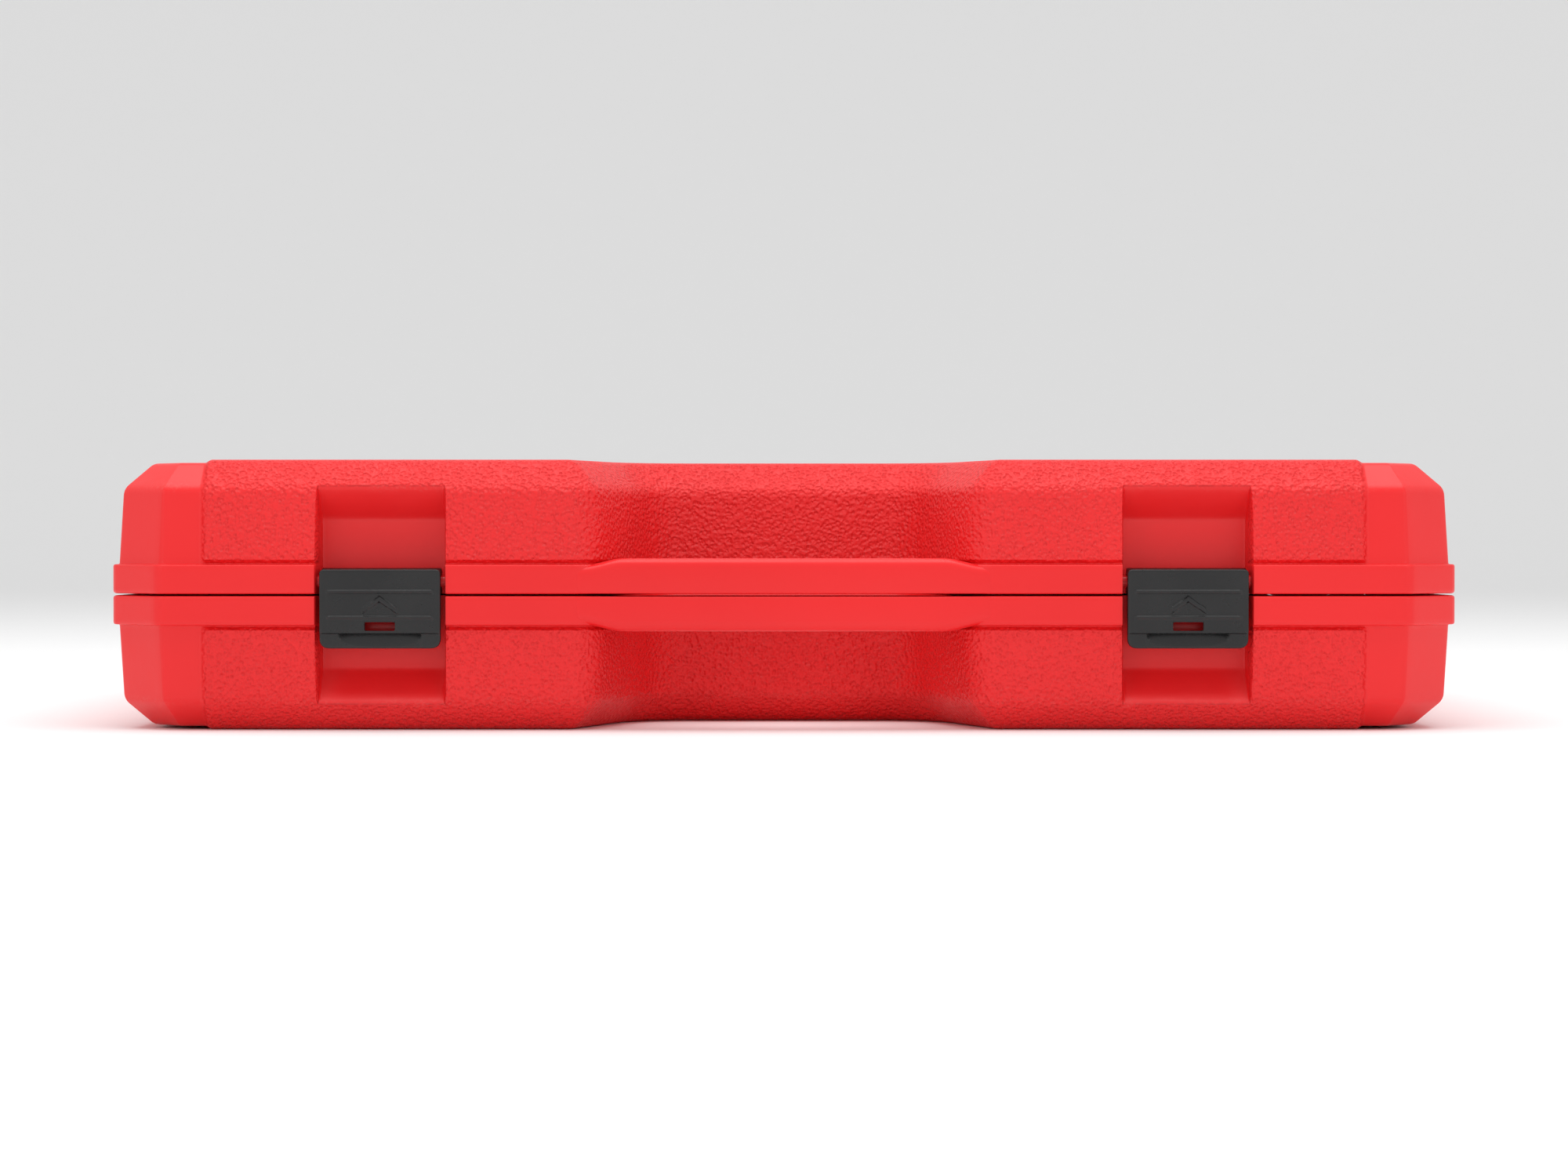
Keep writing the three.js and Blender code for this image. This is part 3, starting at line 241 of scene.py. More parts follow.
def back_columns(side):
    slope = [-1.6, -1.1, -0.6, -0.2, 0.2, 0.6, 1.1, 1.6]
    columns = [186, -186]
    for band in BANDS:
        columns += around(band - BAND_HALF, slope) + around(band + BAND_HALF, slope) + [band]
        columns += [band - 10, band + 10]
    for foot in feet(side):
        ramp = [18 + 0.6 * i for i in range(19)]
        columns += [foot + r for r in ramp] + [foot - r for r in ramp]
    for hinge in HINGES:
        for knuckle in knuckles(-side, hinge):
            for edge in (knuckle - KNUCKLE / 2 - 0.25, knuckle + KNUCKLE / 2 + 0.25):
                columns += around(edge, [-0.12, 0.12])
    return sorted({round(c, 2) for c in columns}, reverse=True)


def feet(side):
    return [0] if side > 0 else [HINGES[0], HINGES[-1]]


def knuckles(side, hinge):
    """The base carries the outer two knuckles of each hinge and the lid the middle one."""
    return [hinge] if side > 0 else [hinge - KNUCKLE, hinge + KNUCKLE]


def stations(side):
    found = []
    for index, (_, _, rounding) in enumerate(CORNERS):
        steps = 12 if rounding > CORNER_ROUND else 5
        found += [("arc", index, i / steps) for i in range(steps + 1)]
        if index == 0:
            found += [("x", index, c) for c in front_columns()]
        elif index == 8:
            found += [("x", index, -c) for c in reversed(front_columns())]
        elif index == 4:
            found += [("x", index, c) for c in back_columns(side)]
        else:
            found += [("share", index, i / 8) for i in range(1, 8)]
    return found


# ------------------------------------------------------------------ profile of the case

def fillet(corner, before, after, radius, steps):
    """Points on a rounding between two straight stretches of a profile."""
    corner, before, after = Vector(corner), Vector(before).normalized(), Vector(after).normalized()
    turn = math.acos(max(-1, min(1, before.dot(after))))
    reach = radius * math.tan(turn / 2)
    start, end = corner - before * reach, corner + after * reach
    points = []
    for i in range(steps + 1):
        t = i / steps
        points.append(start * (1 - t) ** 2 + corner * (2 * t * (1 - t)) + end * t ** 2)
    return [(p.x, p.y) for p in points]


def profile():
    """Rows from the rim round the outside to the top: inset, height."""
    lean = (WALL_TOP - WALL_FOOT, WALL_HEIGHT - FLANGE)
    slant = (FACE_EDGE - WALL_TOP, SMOOTH_TOP - WALL_HEIGHT)
    rows = [(RIM, GAP), (RIM - 1.5, GAP), (POCKET_DEPTH + 1, GAP), (3, GAP)]
    rows += fillet((0, GAP), (-1, 0), (0, 1), 1, 4)
    rows += [(0, h) for h in (2.2, 3.4, 4.6, 6, 7.4)]
    rows += fillet((0, FLANGE), (0, 1), (1, 0), 0.8, 3)
    rows += fillet((WALL_FOOT, FLANGE), (1, 0), lean, 0.5, 2)
    for h in (11, 12.5, 15, 18, 21, 22.6, 23.3, 24.1, 25, 27, 29):
        rows.append((lerp(WALL_FOOT, WALL_TOP, (h - FLANGE) / (WALL_HEIGHT - FLANGE)), h))
    rows += fillet((WALL_TOP, WALL_HEIGHT), lean, slant, 5, 6)
    for h in (35.4, 36.2, 37, 37.8, 38.6):
        rows.append((lerp(WALL_TOP, FACE_EDGE, (h - WALL_HEIGHT) / (SMOOTH_TOP - WALL_HEIGHT)), h))
    rows += fillet((FACE_EDGE, SMOOTH_TOP), slant, (1, 0), 4, 5)
    rows += [(TOP_RING, SMOOTH_TOP)]
    return rows


def pocket_inset(height):
    """How far in the latch pocket's back lies at a height."""
    ramp = POCKET_DEPTH - (height - POCKET_FLOOR) * (POCKET_DEPTH - 2) / (POCKET_TOP - POCKET_FLOOR)
    return soft_min(POCKET_DEPTH, ramp, 0.8)


def foot_inset(height, plain):
    rise = -FOOT_PROUD * (height - FOOT_START) / (FOOT_EDGE - FOOT_START)
    fall = -FOOT_PROUD + (height - FOOT_EDGE) * 2.9
    return min(soft_max(rise, fall, 1.2), plain + 3)


def shape_point(station, row, side):
    """A point of the outer skin: the plain profile, with bands, pockets, feet and hinge notches."""
    inset, height = row
    place = locate(station, inset)
    if inset > POCKET_DEPTH and height < FLANGE:
        return place, height, 0
    grain = float(raised(place.x, place.y))
    start = float(smoothstep(height, FLANGE + 0.2, FLANGE + 1.4))
    lift = grain * start
    climb = float(smoothstep(height, WALL_HEIGHT - 2, SMOOTH_TOP))
    inward = 1 - float(smoothstep(inset, FACE_EDGE - 1.5, FACE_EDGE + 1.5))
    inset -= RAISE * lift * inward
    height += RAISE * lift * climb
    plain = inset
    kind, index, value = station
    if kind == "x" and index in (0, 8):
        edge = abs(abs(value) - LATCH_X)
        inside = float(smoothstep(POCKET_HALF - edge, -POCKET_EDGE / 2, POCKET_EDGE / 2))
        pocket = pocket_inset(height)
        if inside > 0.5 and pocket > inset:
            grain = 0
        inset = lerp(inset, soft_max(inset, pocket, 0.8), inside)
    if kind == "x" and index == 4:
        for foot in feet(side):
            across = abs(value - foot)
            t = (height - FOOT_START) / (FOOT_EDGE - FOOT_START)
            face, root = lerp(*FOOT_FACE, min(max(t, 0), 1)), lerp(*FOOT_ROOT, min(max(t, 0), 1.15))
            flank = soft_min(1, max((root - across) / (root - face), 0), 0.12)
            if flank > 0 and across < root:
                inset = lerp(inset, min(inset, foot_inset(height, plain)), min(flank, 1))
                if height > FOOT_START + 3:
                    grain *= 1 - flank
        for hinge in HINGES:
            for knuckle in knuckles(-side, hinge):
                if abs(value - knuckle) < KNUCKLE / 2 + 0.25 and height < KNUCKLE_RADIUS + NOTCH + 0.2:
                    inset = max(inset, BACK_Y - HINGE_Y + KNUCKLE_RADIUS + NOTCH)
    return locate(station, inset), height, grain * start


def worn(height, y, side):
    """1 where the case rubs on what it stands on: the lower back edge most, other long edges a little."""
    edge = float(smoothstep(2.4 - abs(height - WALL_HEIGHT - 0.6), 0, 1.6))
    back = y > BACK_Y - 12
    if back and y > BACK_Y + 2.6:
        return float(smoothstep(1.6 - abs(height - FOOT_EDGE), 0, 1.2))
    return edge * (0.8 if back and side < 0 else 0.2)


class Builder:
    """Gathers points in mm above the parting plane, with their grain, and faces."""

    def __init__(self, side):
        self.side = side
        self.points = []
        self.grain = []
        self.wear = []
        self.faces = []

    def add(self, x, y, height, grain=0.0):
        self.points.append((x * MM, y * MM, (self.side * height + PARTING) * MM))
        self.grain.append(grain)
        self.wear.append(worn(height, y, self.side))
        return len(self.points) - 1

    def face(self, *corners):
        self.faces.append(corners if self.side > 0 else corners[::-1])

    def rings(self, grid):
        """Joins rings of points, each from the last, as quads facing out of a rising wall."""
        count = len(grid[0])
        for lower, upper in zip(grid, grid[1:]):
            for i in range(count):
                j = (i + 1) % count
                self.face(lower[i], lower[j], upper[j], upper[i])

    def fill(self, ring, grid, height_at, up):
        """Fills a ring with points on a grid, whose heights and grain come from a function."""
        outline = np.array([self.points[i][:2] for i in ring]) / MM
        inner = inside(np.array(grid), outline, 0.9)
        edges = [(i, (i + 1) % len(ring)) for i in range(len(ring))]
        coords = [Vector(p) for p in outline] + [Vector(p) for p in inner]
        found = delaunay_2d_cdt(coords, edges, [], 1, 1e-4)
        places = np.array([tuple(v) for v in found[0]])
        heights, grains = height_at(places[:, 0], places[:, 1])
        index = []
        for (x, y), height, grain, origin in zip(places, heights, grains, found[3]):
            if origin and origin[0] < len(ring):
                index.append(ring[origin[0]])
            else:
                index.append(self.add(x, y, height, grain))
        for triangle in found[2]:
            corners = [index[i] for i in triangle]
            self.face(*(corners if up else corners[::-1]))

    def object(self, name, sharp=38):
        mesh = bpy.data.meshes.new(name)
        mesh.from_pydata(self.points, [], self.faces)
        grain = mesh.attributes.new("grain", "FLOAT", "POINT")
        grain.data.foreach_set("value", self.grain)
        wear = mesh.attributes.new("wear", "FLOAT", "POINT")
        wear.data.foreach_set("value", self.wear)
        made = bpy.data.objects.new(name, mesh)
        bpy.context.scene.collection.objects.link(made)
        tidy(mesh, sharp)
        return made


def inside(points, outline, margin):
    """The points that are inside an outline and more than the margin from its edge."""
    x, y = points[:, 0], points[:, 1]
    odd = np.zeros(len(points), bool)
    near = np.full(len(points), np.inf)
    for a, b in zip(outline, np.roll(outline, -1, axis=0)):
        along = b - a
        length = along @ along
        if length < 1e-9:
            continue
        if a[1] != b[1]:
            crosses = (a[1] > y) != (b[1] > y)
            odd ^= crosses & (x < a[0] + (y - a[1]) * along[0] / along[1])
        t = np.clip(((x - a[0]) * along[0] + (y - a[1]) * along[1]) / length, 0, 1)
        near = np.minimum(near, np.hypot(x - a[0] - t * along[0], y - a[1] - t * along[1]))
    return points[odd & (near > margin)]


def tidy(mesh, sharp):
    """Welds coincident points and shades smooth with sharp edges kept."""
    work = bmesh.new()
    work.from_mesh(mesh)
    bmesh.ops.remove_doubles(work, verts=work.verts, dist=2e-6)
    bmesh.ops.dissolve_degenerate(work, edges=work.edges, dist=1e-6)
    work.to_mesh(mesh)
    work.free()
    mesh.polygons.foreach_set("use_smooth", [True] * len(mesh.polygons))
    mesh.set_sharp_from_angle(angle=math.radians(sharp))
    mesh.update()


# ------------------------------------------------------------------ tray

GEAR_X, GEAR_Y = [v / MM for v in JOINTS["drive_spin"]["pos_m"][:2]]
PAWL_X = JOINTS["reversing_lever_turn"]["pos_m"][0] / MM
HEAD_LOW, HEAD_HIGH = millimetres("ratchet_body")
GRIP_LOW, GRIP_HIGH = millimetres("ratchet_grip")
HEAD_RADIUS = GEAR_X - HEAD_LOW.x
NECK_RADIUS = 15
SQUARE_LOW = millimetres("drive_gear")[0].z
NODES = sorted(frame["nodes"])


def troughs():
    """Pockets as axis, low corner, high corner and radius, from the tools that lie in them."""
    found = []
    for node in NODES:
        low, high = millimetres(node)
        if "socket_" in node and "universal" not in node:
            found.append(("y", low, high, (high.x - low.x) / 2))
        elif node.startswith("extension"):
            axis = "x" if high.x - low.x > high.y - low.y else "y"
            radius = (high.z - low.z) / 2
            neck = 30
            head = Vector(high)
            head[0 if axis == "x" else 1] = low[0 if axis == "x" else 1] + neck
            found.append((axis, low, head, radius))
            shaft_low = Vector(low)
            shaft_low[0 if axis == "x" else 1] += neck - 6
            found.append((axis, shaft_low, high, 9))
    low, _ = millimetres("universal_socket_yoke")
    _, high = millimetres("universal_drive_yoke")
    found.append(("y", low, high, (high.x - low.x) / 2))
    found.append(("x", Vector((GEAR_X, GRIP_LOW.y, 0)), GRIP_HIGH, (GRIP_HIGH.y - GRIP_LOW.y) / 2))
    return found


TROUGHS = troughs()
LIP = 0.5  # half width of the soft edge round a pocket


def bowl(across, radius):
    """Depth below the parting plane of a round-bottomed pocket's floor."""
    return -TOOL_Z + np.sqrt(np.maximum(radius * radius - across * across, 0))


def tray_depth(x, y):
    """Depth of the tray below the parting plane, with a pocket for each tool."""
    depth = np.full(len(x), float(TRAY_DROP))
    for axis, low, high, radius in TROUGHS:
        u, v = (y, x) if axis == "x" else (x, y)
        middle = (low.y + high.y) / 2 if axis == "x" else (low.x + high.x) / 2
        start, end = (low.x, high.x) if axis == "x" else (low.y, high.y)
        wide = radius + POCKET_GAP
        margin = np.minimum(wide - abs(u - middle), np.minimum(v - start, end - v) + POCKET_GAP)
        share = smoothstep(margin, -LIP, LIP)
        depth = np.maximum(depth, lerp(TRAY_DROP, bowl(u - middle, wide), share))
    for centre, radius, deep in (
        (GEAR_X, HEAD_RADIUS, -HEAD_LOW.z),
        (PAWL_X, NECK_RADIUS, -HEAD_LOW.z),
        (GEAR_X, 9.6, -SQUARE_LOW),
    ):
        margin = radius + POCKET_GAP - np.hypot(x - centre, y - GEAR_Y)
        floor = lerp(depth, np.maximum(depth, deep + POCKET_GAP), smoothstep(margin, -LIP, LIP))
        depth = np.maximum(depth, floor)
    return depth


def grid_lines(edges, filler, low, high):
    lines = set(np.arange(low, high, filler).round(2))
    for edge in edges:
        lines |= {round(edge + o, 2) for o in (-LIP, -LIP / 2, 0, LIP / 2, LIP)}
    ordered = sorted(lines)
    kept = [ordered[0]]
    for line in ordered[1:]:
        if line - kept[-1] > 0.2:
            kept.append(line)
    return kept


def tray_grid():
    xs, ys = [], []
    for axis, low, high, radius in TROUGHS:
        wide = radius + POCKET_GAP
        middle = Vector((low.x + high.x, low.y + high.y)) / 2
        if axis == "x":
            xs += [low.x - POCKET_GAP, high.x + POCKET_GAP]
            ys += [middle.y + wide * math.sin(math.pi * k / 10) for k in range(-5, 6)]
        else:
            ys += [low.y - POCKET_GAP, high.y + POCKET_GAP]
            xs += [middle.x - wide, middle.x + wide]
    columns = grid_lines(xs, 2.2, -HALF_WIDTH, HALF_WIDTH)
    rows = grid_lines(ys, 3, FRONT_Y, BACK_Y)
    return [(x, y) for x in columns for y in rows]


# ------------------------------------------------------------------ case halves

def top_grid():
    slope = [-1.3, -0.9, -0.45, 0, 0.45, 0.9, 1.3]
    xs = [x for band in BANDS for edge in (-1, 1) for x in around(band + edge * BAND_HALF, slope)]
    xs += BANDS + [190, -190]
    ys = around(PANEL_BACK, slope) + list(np.arange(FRONT_Y + 16, BACK_Y, 12))
    return [(x, y) for x in xs for y in ys]


def top_surface(x, y):
    grain = raised(x, y)
    return SMOOTH_TOP + RAISE * grain, grain


def liner_surface(x, y):
    """Inside the lid the bands show as shallow ribs."""
    return LID_HOLLOW - RAISE * raised(x, y), np.zeros(len(x))


def tray_surface(x, y):
    return tray_depth(x, y), np.zeros(len(x))


def shell(side, name, body):
    """One double-walled half: outer skin, rim, inner wall, and the liner or tray."""
    build = Builder(side)
    places = stations(side)
    outer = []
    for row in profile():
        ring = []
        for station in places:
            place, height, grain = shape_point(station, row, side)
            ring.append(build.add(place.x, place.y, height, grain))
        outer.append(ring)
    build.rings(outer)
    build.fill(outer[-1], top_grid(), top_surface, True)
    hollow = LID_HOLLOW if side > 0 else -TRAY_DROP
    rows = inner_profile(hollow)
    inner = [outer[0]]
    for inset, height in rows:
        inner.append([build.add(*locate(s, inset), height) for s in places])
    # The inner wall faces the other way from the outer one.
    for lower, upper in zip(inner, inner[1:]):
        for i in range(len(places)):
            j = (i + 1) % len(places)
            build.face(lower[j], lower[i], upper[i], upper[j])
    if side > 0:
        build.fill(inner[-1], top_grid(), liner_surface, False)
    else:
        build.fill(inner[-1], tray_grid(), tray_surface, False)
    made = build.object(name)
    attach(made, body)
    return made


def inner_profile(hollow):
    """Rows of the inner wall, from the rim inwards; the tray lies behind the rim's plane."""
    if hollow < 0:
        depth = TRAY_DROP
        rows = fillet((RIM, GAP), (1, 0), (0.1, 1), 0.6, 2)
        rows += fillet((RIM + 0.3, depth), (0.1, 1), (1, 0), 1, 3)
        return rows + [(RIM + 2.2, depth)]
    rows = fillet((RIM, GAP), (1, 0), (0.08, 1), 1, 3)
    rows += [(RIM + 0.6, 8), (RIM + 1, 14)]
    rows += fillet((RIM + 1.6, hollow), (0.08, 1), (1, 0), 3, 4)
    return rows + [(RIM + 6, hollow)]


LID = shell(1, "lid_moulding", "lid")
BASE = shell(-1, "base_moulding", "base")
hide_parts("lid_shell")
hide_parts("base_shell")

# ------------------------------------------------------------------ mesh helpers

def show(name, mesh, material, body, slot, *replaced, sharp=35):
    """Makes an object of a mesh, with its material and body; the slot argument is not used."""
    tidy(mesh, sharp)
    mesh.materials.clear()
    mesh.materials.append(material)
    made = bpy.data.objects.new(name, mesh)
    bpy.context.scene.collection.objects.link(made)
    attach(made, body)
    if replaced:
        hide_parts(*replaced)
    return made


def mesh_of(name, points, faces):
    """A mesh from points in mm above the parting plane."""
    mesh = bpy.data.meshes.new(name)
    mesh.from_pydata([(x * MM, y * MM, (z + PARTING) * MM) for x, y, z in points], [], faces)
    return mesh


def joined(name, meshes):
    """One mesh of several, each kept as its own island."""
    work = bmesh.new()
    for mesh in meshes:
        work.from_mesh(mesh)
    bmesh.ops.recalc_face_normals(work, faces=work.faces)
    made = bpy.data.meshes.new(name)
    work.to_mesh(made)
    work.free()
    return made


def rounded(mesh, width, segments=2, least=25):
    """The mesh with a rounding on every edge sharper than the least angle."""
    work = bmesh.new()
    work.from_mesh(mesh)
    bmesh.ops.remove_doubles(work, verts=work.verts, dist=1e-6)
    edges = [e for e in work.edges if len(e.link_faces) == 2 and e.calc_face_angle(0) > math.radians(least)]
    bmesh.ops.bevel(
        work, geom=edges, offset=width * MM, segments=segments,
        profile=0.5, affect="EDGES", clamp_overlap=True
    )
    work.to_mesh(mesh)
    work.free()
    return mesh


def prism(outline, start, end, axis):
    """An outline drawn out along an axis: pairs are (y, z) for x, (x, z) for y and (x, y) for z."""
    place = {
        "x": lambda u, v, w: (w, u, v),
        "y": lambda u, v, w: (u, w, v),
        "z": lambda u, v, w: (u, v, w),
    }[axis]
    points = [place(u, v, w) for w in (start, end) for u, v in outline]
    count = len(outline)
    faces = [tuple(range(count)), tuple(range(2 * count - 1, count - 1, -1))]
    faces += [(i, i + count, (i + 1) % count + count, (i + 1) % count) for i in range(count)]
    mesh = mesh_of("prism", points, faces)
    work = bmesh.new()
    work.from_mesh(mesh)
    bmesh.ops.recalc_face_normals(work, faces=work.faces)
    work.to_mesh(mesh)
    work.free()
    return mesh


def block(x0, x1, y0, y1, z0, z1, rounding):
    outline = [(x0, y0), (x1, y0), (x1, y1), (x0, y1)]
    return rounded(prism(outline, z0, z1, "z"), rounding)


def sector(y, z, inner, outer, first, last, steps):
    """Outline of part of a ring in the plane of y and z; angles from +y towards +z, in degrees."""
    angles = np.radians(np.linspace(first, last, steps + 1))
    outside = [(y + outer * math.cos(a), z + outer * math.sin(a)) for a in angles]
    inside_arc = [(y + inner * math.cos(a), z + inner * math.sin(a)) for a in angles[::-1]]
    return outside + inside_arc


def cut_out(mesh, cutters):
    """The mesh with the cutters' shapes taken away."""
    scene = bpy.context.scene.collection
    body = bpy.data.objects.new("body", mesh)
    scene.objects.link(body)
    tools = []
    for i, cutter in enumerate(cutters):
        tool = bpy.data.objects.new(f"cutter_{i}", cutter)
        scene.objects.link(tool)
        step = body.modifiers.new("cut", "BOOLEAN")
        step.operation = "DIFFERENCE"
        step.solver = "EXACT"
        step.object = tool
        tools.append(tool)
    graph = bpy.context.evaluated_depsgraph_get()
    made = bpy.data.meshes.new_from_object(body.evaluated_get(graph))
    for thing in [body, *tools]:
        bpy.data.objects.remove(thing)
    return made


# ------------------------------------------------------------------ materials

def node(tree, kind, **settings):
    made = tree.nodes.new(kind)
    for key, value in settings.items():
        if hasattr(made, key):
            setattr(made, key, value)
        else:
            made.inputs[key].default_value = value
    return made


def new_material(name, **sockets):
    made = bpy.data.materials.new(name)
    made.use_nodes = True
    shader = made.node_tree.nodes["Principled BSDF"]
    for key, value in sockets.items():
        shader.inputs[key.replace("_", " ")].default_value = value
    return made, made.node_tree, shader


def coordinates(tree, scale):
    """The object's own coordinates, times a scale per metre."""
    source = node(tree, "ShaderNodeTexCoord")
    mapping = node(tree, "ShaderNodeMapping", Scale=(scale, scale, scale))
    tree.links.new(source.outputs["Object"], mapping.inputs["Vector"])
    return mapping.outputs["Vector"]


def noise(tree, scale, detail=2, roughness=0.5):
    made = node(tree, "ShaderNodeTexNoise", Scale=1.0, Detail=detail, Roughness=roughness)
    tree.links.new(coordinates(tree, scale), made.inputs["Vector"])
    return made.outputs["Fac"]


def spread(tree, value, low, high, out_low, out_high):
    """A value's range from low to high, spread to another range and held there."""
    made = node(tree, "ShaderNodeMapRange")
    for name, number in (("From Min", low), ("From Max", high), ("To Min", out_low), ("To Max", out_high)):
        made.inputs[name].default_value = number
    tree.links.new(value, made.inputs["Value"])
    return made.outputs["Result"]


def calculate(tree, operation, a, b):
    made = node(tree, "ShaderNodeMath", operation=operation)
    for socket, value in zip(made.inputs, (a, b)):
        if isinstance(value, (int, float)):
            socket.default_value = value
        else:
            tree.links.new(value, socket)
    return made.outputs[0]


def mix_colour(tree, share, a, b):
    made = node(tree, "ShaderNodeMix", data_type="RGBA")
    for socket, value in ((made.inputs["Factor"], share), (made.inputs[6], a), (made.inputs[7], b)):
        if isinstance(value, tuple):
            socket.default_value = value
        else:
            tree.links.new(value, socket)
    return made.outputs[2]


def attribute(tree, name):
    return node(tree, "ShaderNodeAttribute", attribute_name=name).outputs["Fac"]


def bump(tree, shader, height, distance, strength=1.0):
    made = node(tree, "ShaderNodeBump", Distance=distance, Strength=strength)
    tree.links.new(height, made.inputs["Height"])
    tree.links.new(made.outputs["Normal"], shader.inputs["Normal"])


def case_plastic():
    """Red moulded polyethylene: leather grain on raised panels, smooth between, pale rubbed edges."""
    made, tree, shader = new_material("case_plastic", Specular_IOR_Level=0.38)
    grain = attribute(tree, "grain")
    warp = node(tree, "ShaderNodeTexNoise", Scale=1.0, Detail=3.0)
    tree.links.new(coordinates(tree, 420), warp.inputs["Vector"])
    stretch = node(tree, "ShaderNodeVectorMath", operation="SCALE")
    stretch.inputs["Scale"].default_value = 0.9
    tree.links.new(warp.outputs["Color"], stretch.inputs[0])
    shifted = node(tree, "ShaderNodeVectorMath", operation="ADD")
    tree.links.new(coordinates(tree, 820), shifted.inputs[0])
    tree.links.new(stretch.outputs[0], shifted.inputs[1])
    cells = node(tree, "ShaderNodeTexVoronoi", feature="SMOOTH_F1", Scale=1.0, Smoothness=0.7)
    tree.links.new(shifted.outputs[0], cells.inputs["Vector"])
    pebble = spread(tree, cells.outputs["Distance"], 0.1, 0.7, 0, 1)
    fine = noise(tree, 1700, 2)
    leather = calculate(tree, "ADD", pebble, calculate(tree, "MULTIPLY", fine, 0.35))
    skin = calculate(tree, "MULTIPLY", noise(tree, 240, 2), 0.10)
    height = calculate(tree, "ADD", calculate(tree, "MULTIPLY", leather, grain), skin)
    bump(tree, shader, height, 0.00055)
    patch = spread(tree, noise(tree, 9, 3), 0.35, 0.65, 0, 1)
    red = mix_colour(tree, patch, (0.78, 0.012, 0.014, 1), (0.84, 0.015, 0.017, 1))
    rubbed = mix_colour(tree, calculate(tree, "MULTIPLY", rub(tree), 0.55), red, (0.80, 0.20, 0.18, 1))
    tree.links.new(rubbed, shader.inputs["Base Color"])
    sheen = calculate(tree, "ADD", calculate(tree, "MULTIPLY", grain, 0.10), 0.36)
    uneven = calculate(tree, "MULTIPLY", spread(tree, noise(tree, 60, 3), 0.3, 0.7, -1, 1), 0.04)
    tree.links.new(calculate(tree, "ADD", sheen, uneven), shader.inputs["Roughness"])
    return made


def rub(tree):
    """Where the plastic is rubbed pale: broken patches along the worn edges."""
    broken = spread(tree, noise(tree, 900, 4, 0.7), 0.50, 0.60, 0, 1)
    patches = spread(tree, noise(tree, 38, 2), 0.40, 0.58, 0, 1)
    return calculate(tree, "MULTIPLY", calculate(tree, "MULTIPLY", broken, patches), attribute(tree, "wear"))


def black_plastic():
    made, tree, shader = new_material("latch_plastic", Specular_IOR_Level=0.42)
    speck = spread(tree, noise(tree, 45, 3), 0.3, 0.7, 0, 1)
    tree.links.new(
        mix_colour(tree, speck, (0.009, 0.009, 0.0095, 1), (0.014, 0.014, 0.0145, 1)),
        shader.inputs["Base Color"]
    )
    tree.links.new(spread(tree, noise(tree, 300, 3), 0.3, 0.7, 0.26, 0.40), shader.inputs["Roughness"])
    bump(tree, shader, noise(tree, 1800, 2), 0.00003)
    return made


def grip_rubber():
    made, tree, shader = new_material("grip_rubber", Roughness=0.6)
    speck = spread(tree, noise(tree, 70, 3), 0.3, 0.7, 0, 1)
    tree.links.new(
        mix_colour(tree, speck, (0.018, 0.018, 0.019, 1), (0.028, 0.028, 0.030, 1)),
        shader.inputs["Base Color"]
    )
    bump(tree, shader, noise(tree, 1300, 3), 0.00006)
    return made


def plated(name, colour, low, high, grind):
    """Metal whose polish varies a little, with a fine grind where it isn't bright."""
    made, tree, shader = new_material(name, Metallic=1.0, Base_Color=(*colour, 1))
    tree.links.new(spread(tree, noise(tree, 120, 4), 0.3, 0.7, low, high), shader.inputs["Roughness"])
    bump(tree, shader, noise(tree, 900, 3), grind)
    return made


RED = case_plastic()
BLACK = black_plastic()
RUBBER = grip_rubber()
CHROME = plated("chrome_plate", (0.78, 0.79, 0.80), 0.07, 0.13, 0.000004)
SATIN = plated("satin_chrome", (0.62, 0.63, 0.64), 0.24, 0.32, 0.00001)
STEEL = plated("bare_steel", (0.42, 0.42, 0.43), 0.3, 0.42, 0.00002)


for piece in (LID, BASE):
    piece.data.materials.append(RED)


# ------------------------------------------------------------------ hinges

def knuckle_mesh(side, x):
    """Half wraps that take the pin between them: two over one side and one under the other."""
    half = KNUCKLE / 2 - 0.25
    tab = 2 * half * 0.3
    own = 1 if side < 0 else -1
    y, z, inner, outer = HINGE_Y, 0, 1.75, KNUCKLE_RADIUS
    spine = [prism(sector(y, z, inner, outer, -38 * own, 24 * own, 6), x - half, x + half, "x")]
    ends = sector(y, z, inner, outer - 0.15, 20 * own, 150 * own, 10)
    spine += [prism(ends, x - half, x - half + tab, "x"), prism(ends, x + half - tab, x + half, "x")]
    middle = sector(y, z, inner, outer - 0.05, -34 * own, -150 * own, 10)
    spine.append(prism(middle, x - tab * 0.55, x + tab * 0.55, "x"))
    web_top = -own * (KNUCKLE_RADIUS - 0.6)
    web = [(BACK_Y - 2.6, -own * 0.5), (HINGE_Y - 1, -own * 1.9)]
    web += [(HINGE_Y - 0.6, web_top), (BACK_Y - 2.6, web_top)]
    spine.append(prism(web, x - half, x + half, "x"))
    return [rounded(mesh, 0.28) for mesh in spine]


def hinge_knuckles():
    for side, body in ((1, "lid"), (-1, "base")):
        meshes = [m for hinge in HINGES for x in knuckles(side, hinge) for m in knuckle_mesh(side, x)]
        show(f"{body}_knuckles", joined("knuckles", meshes), RED, body, "case_red")


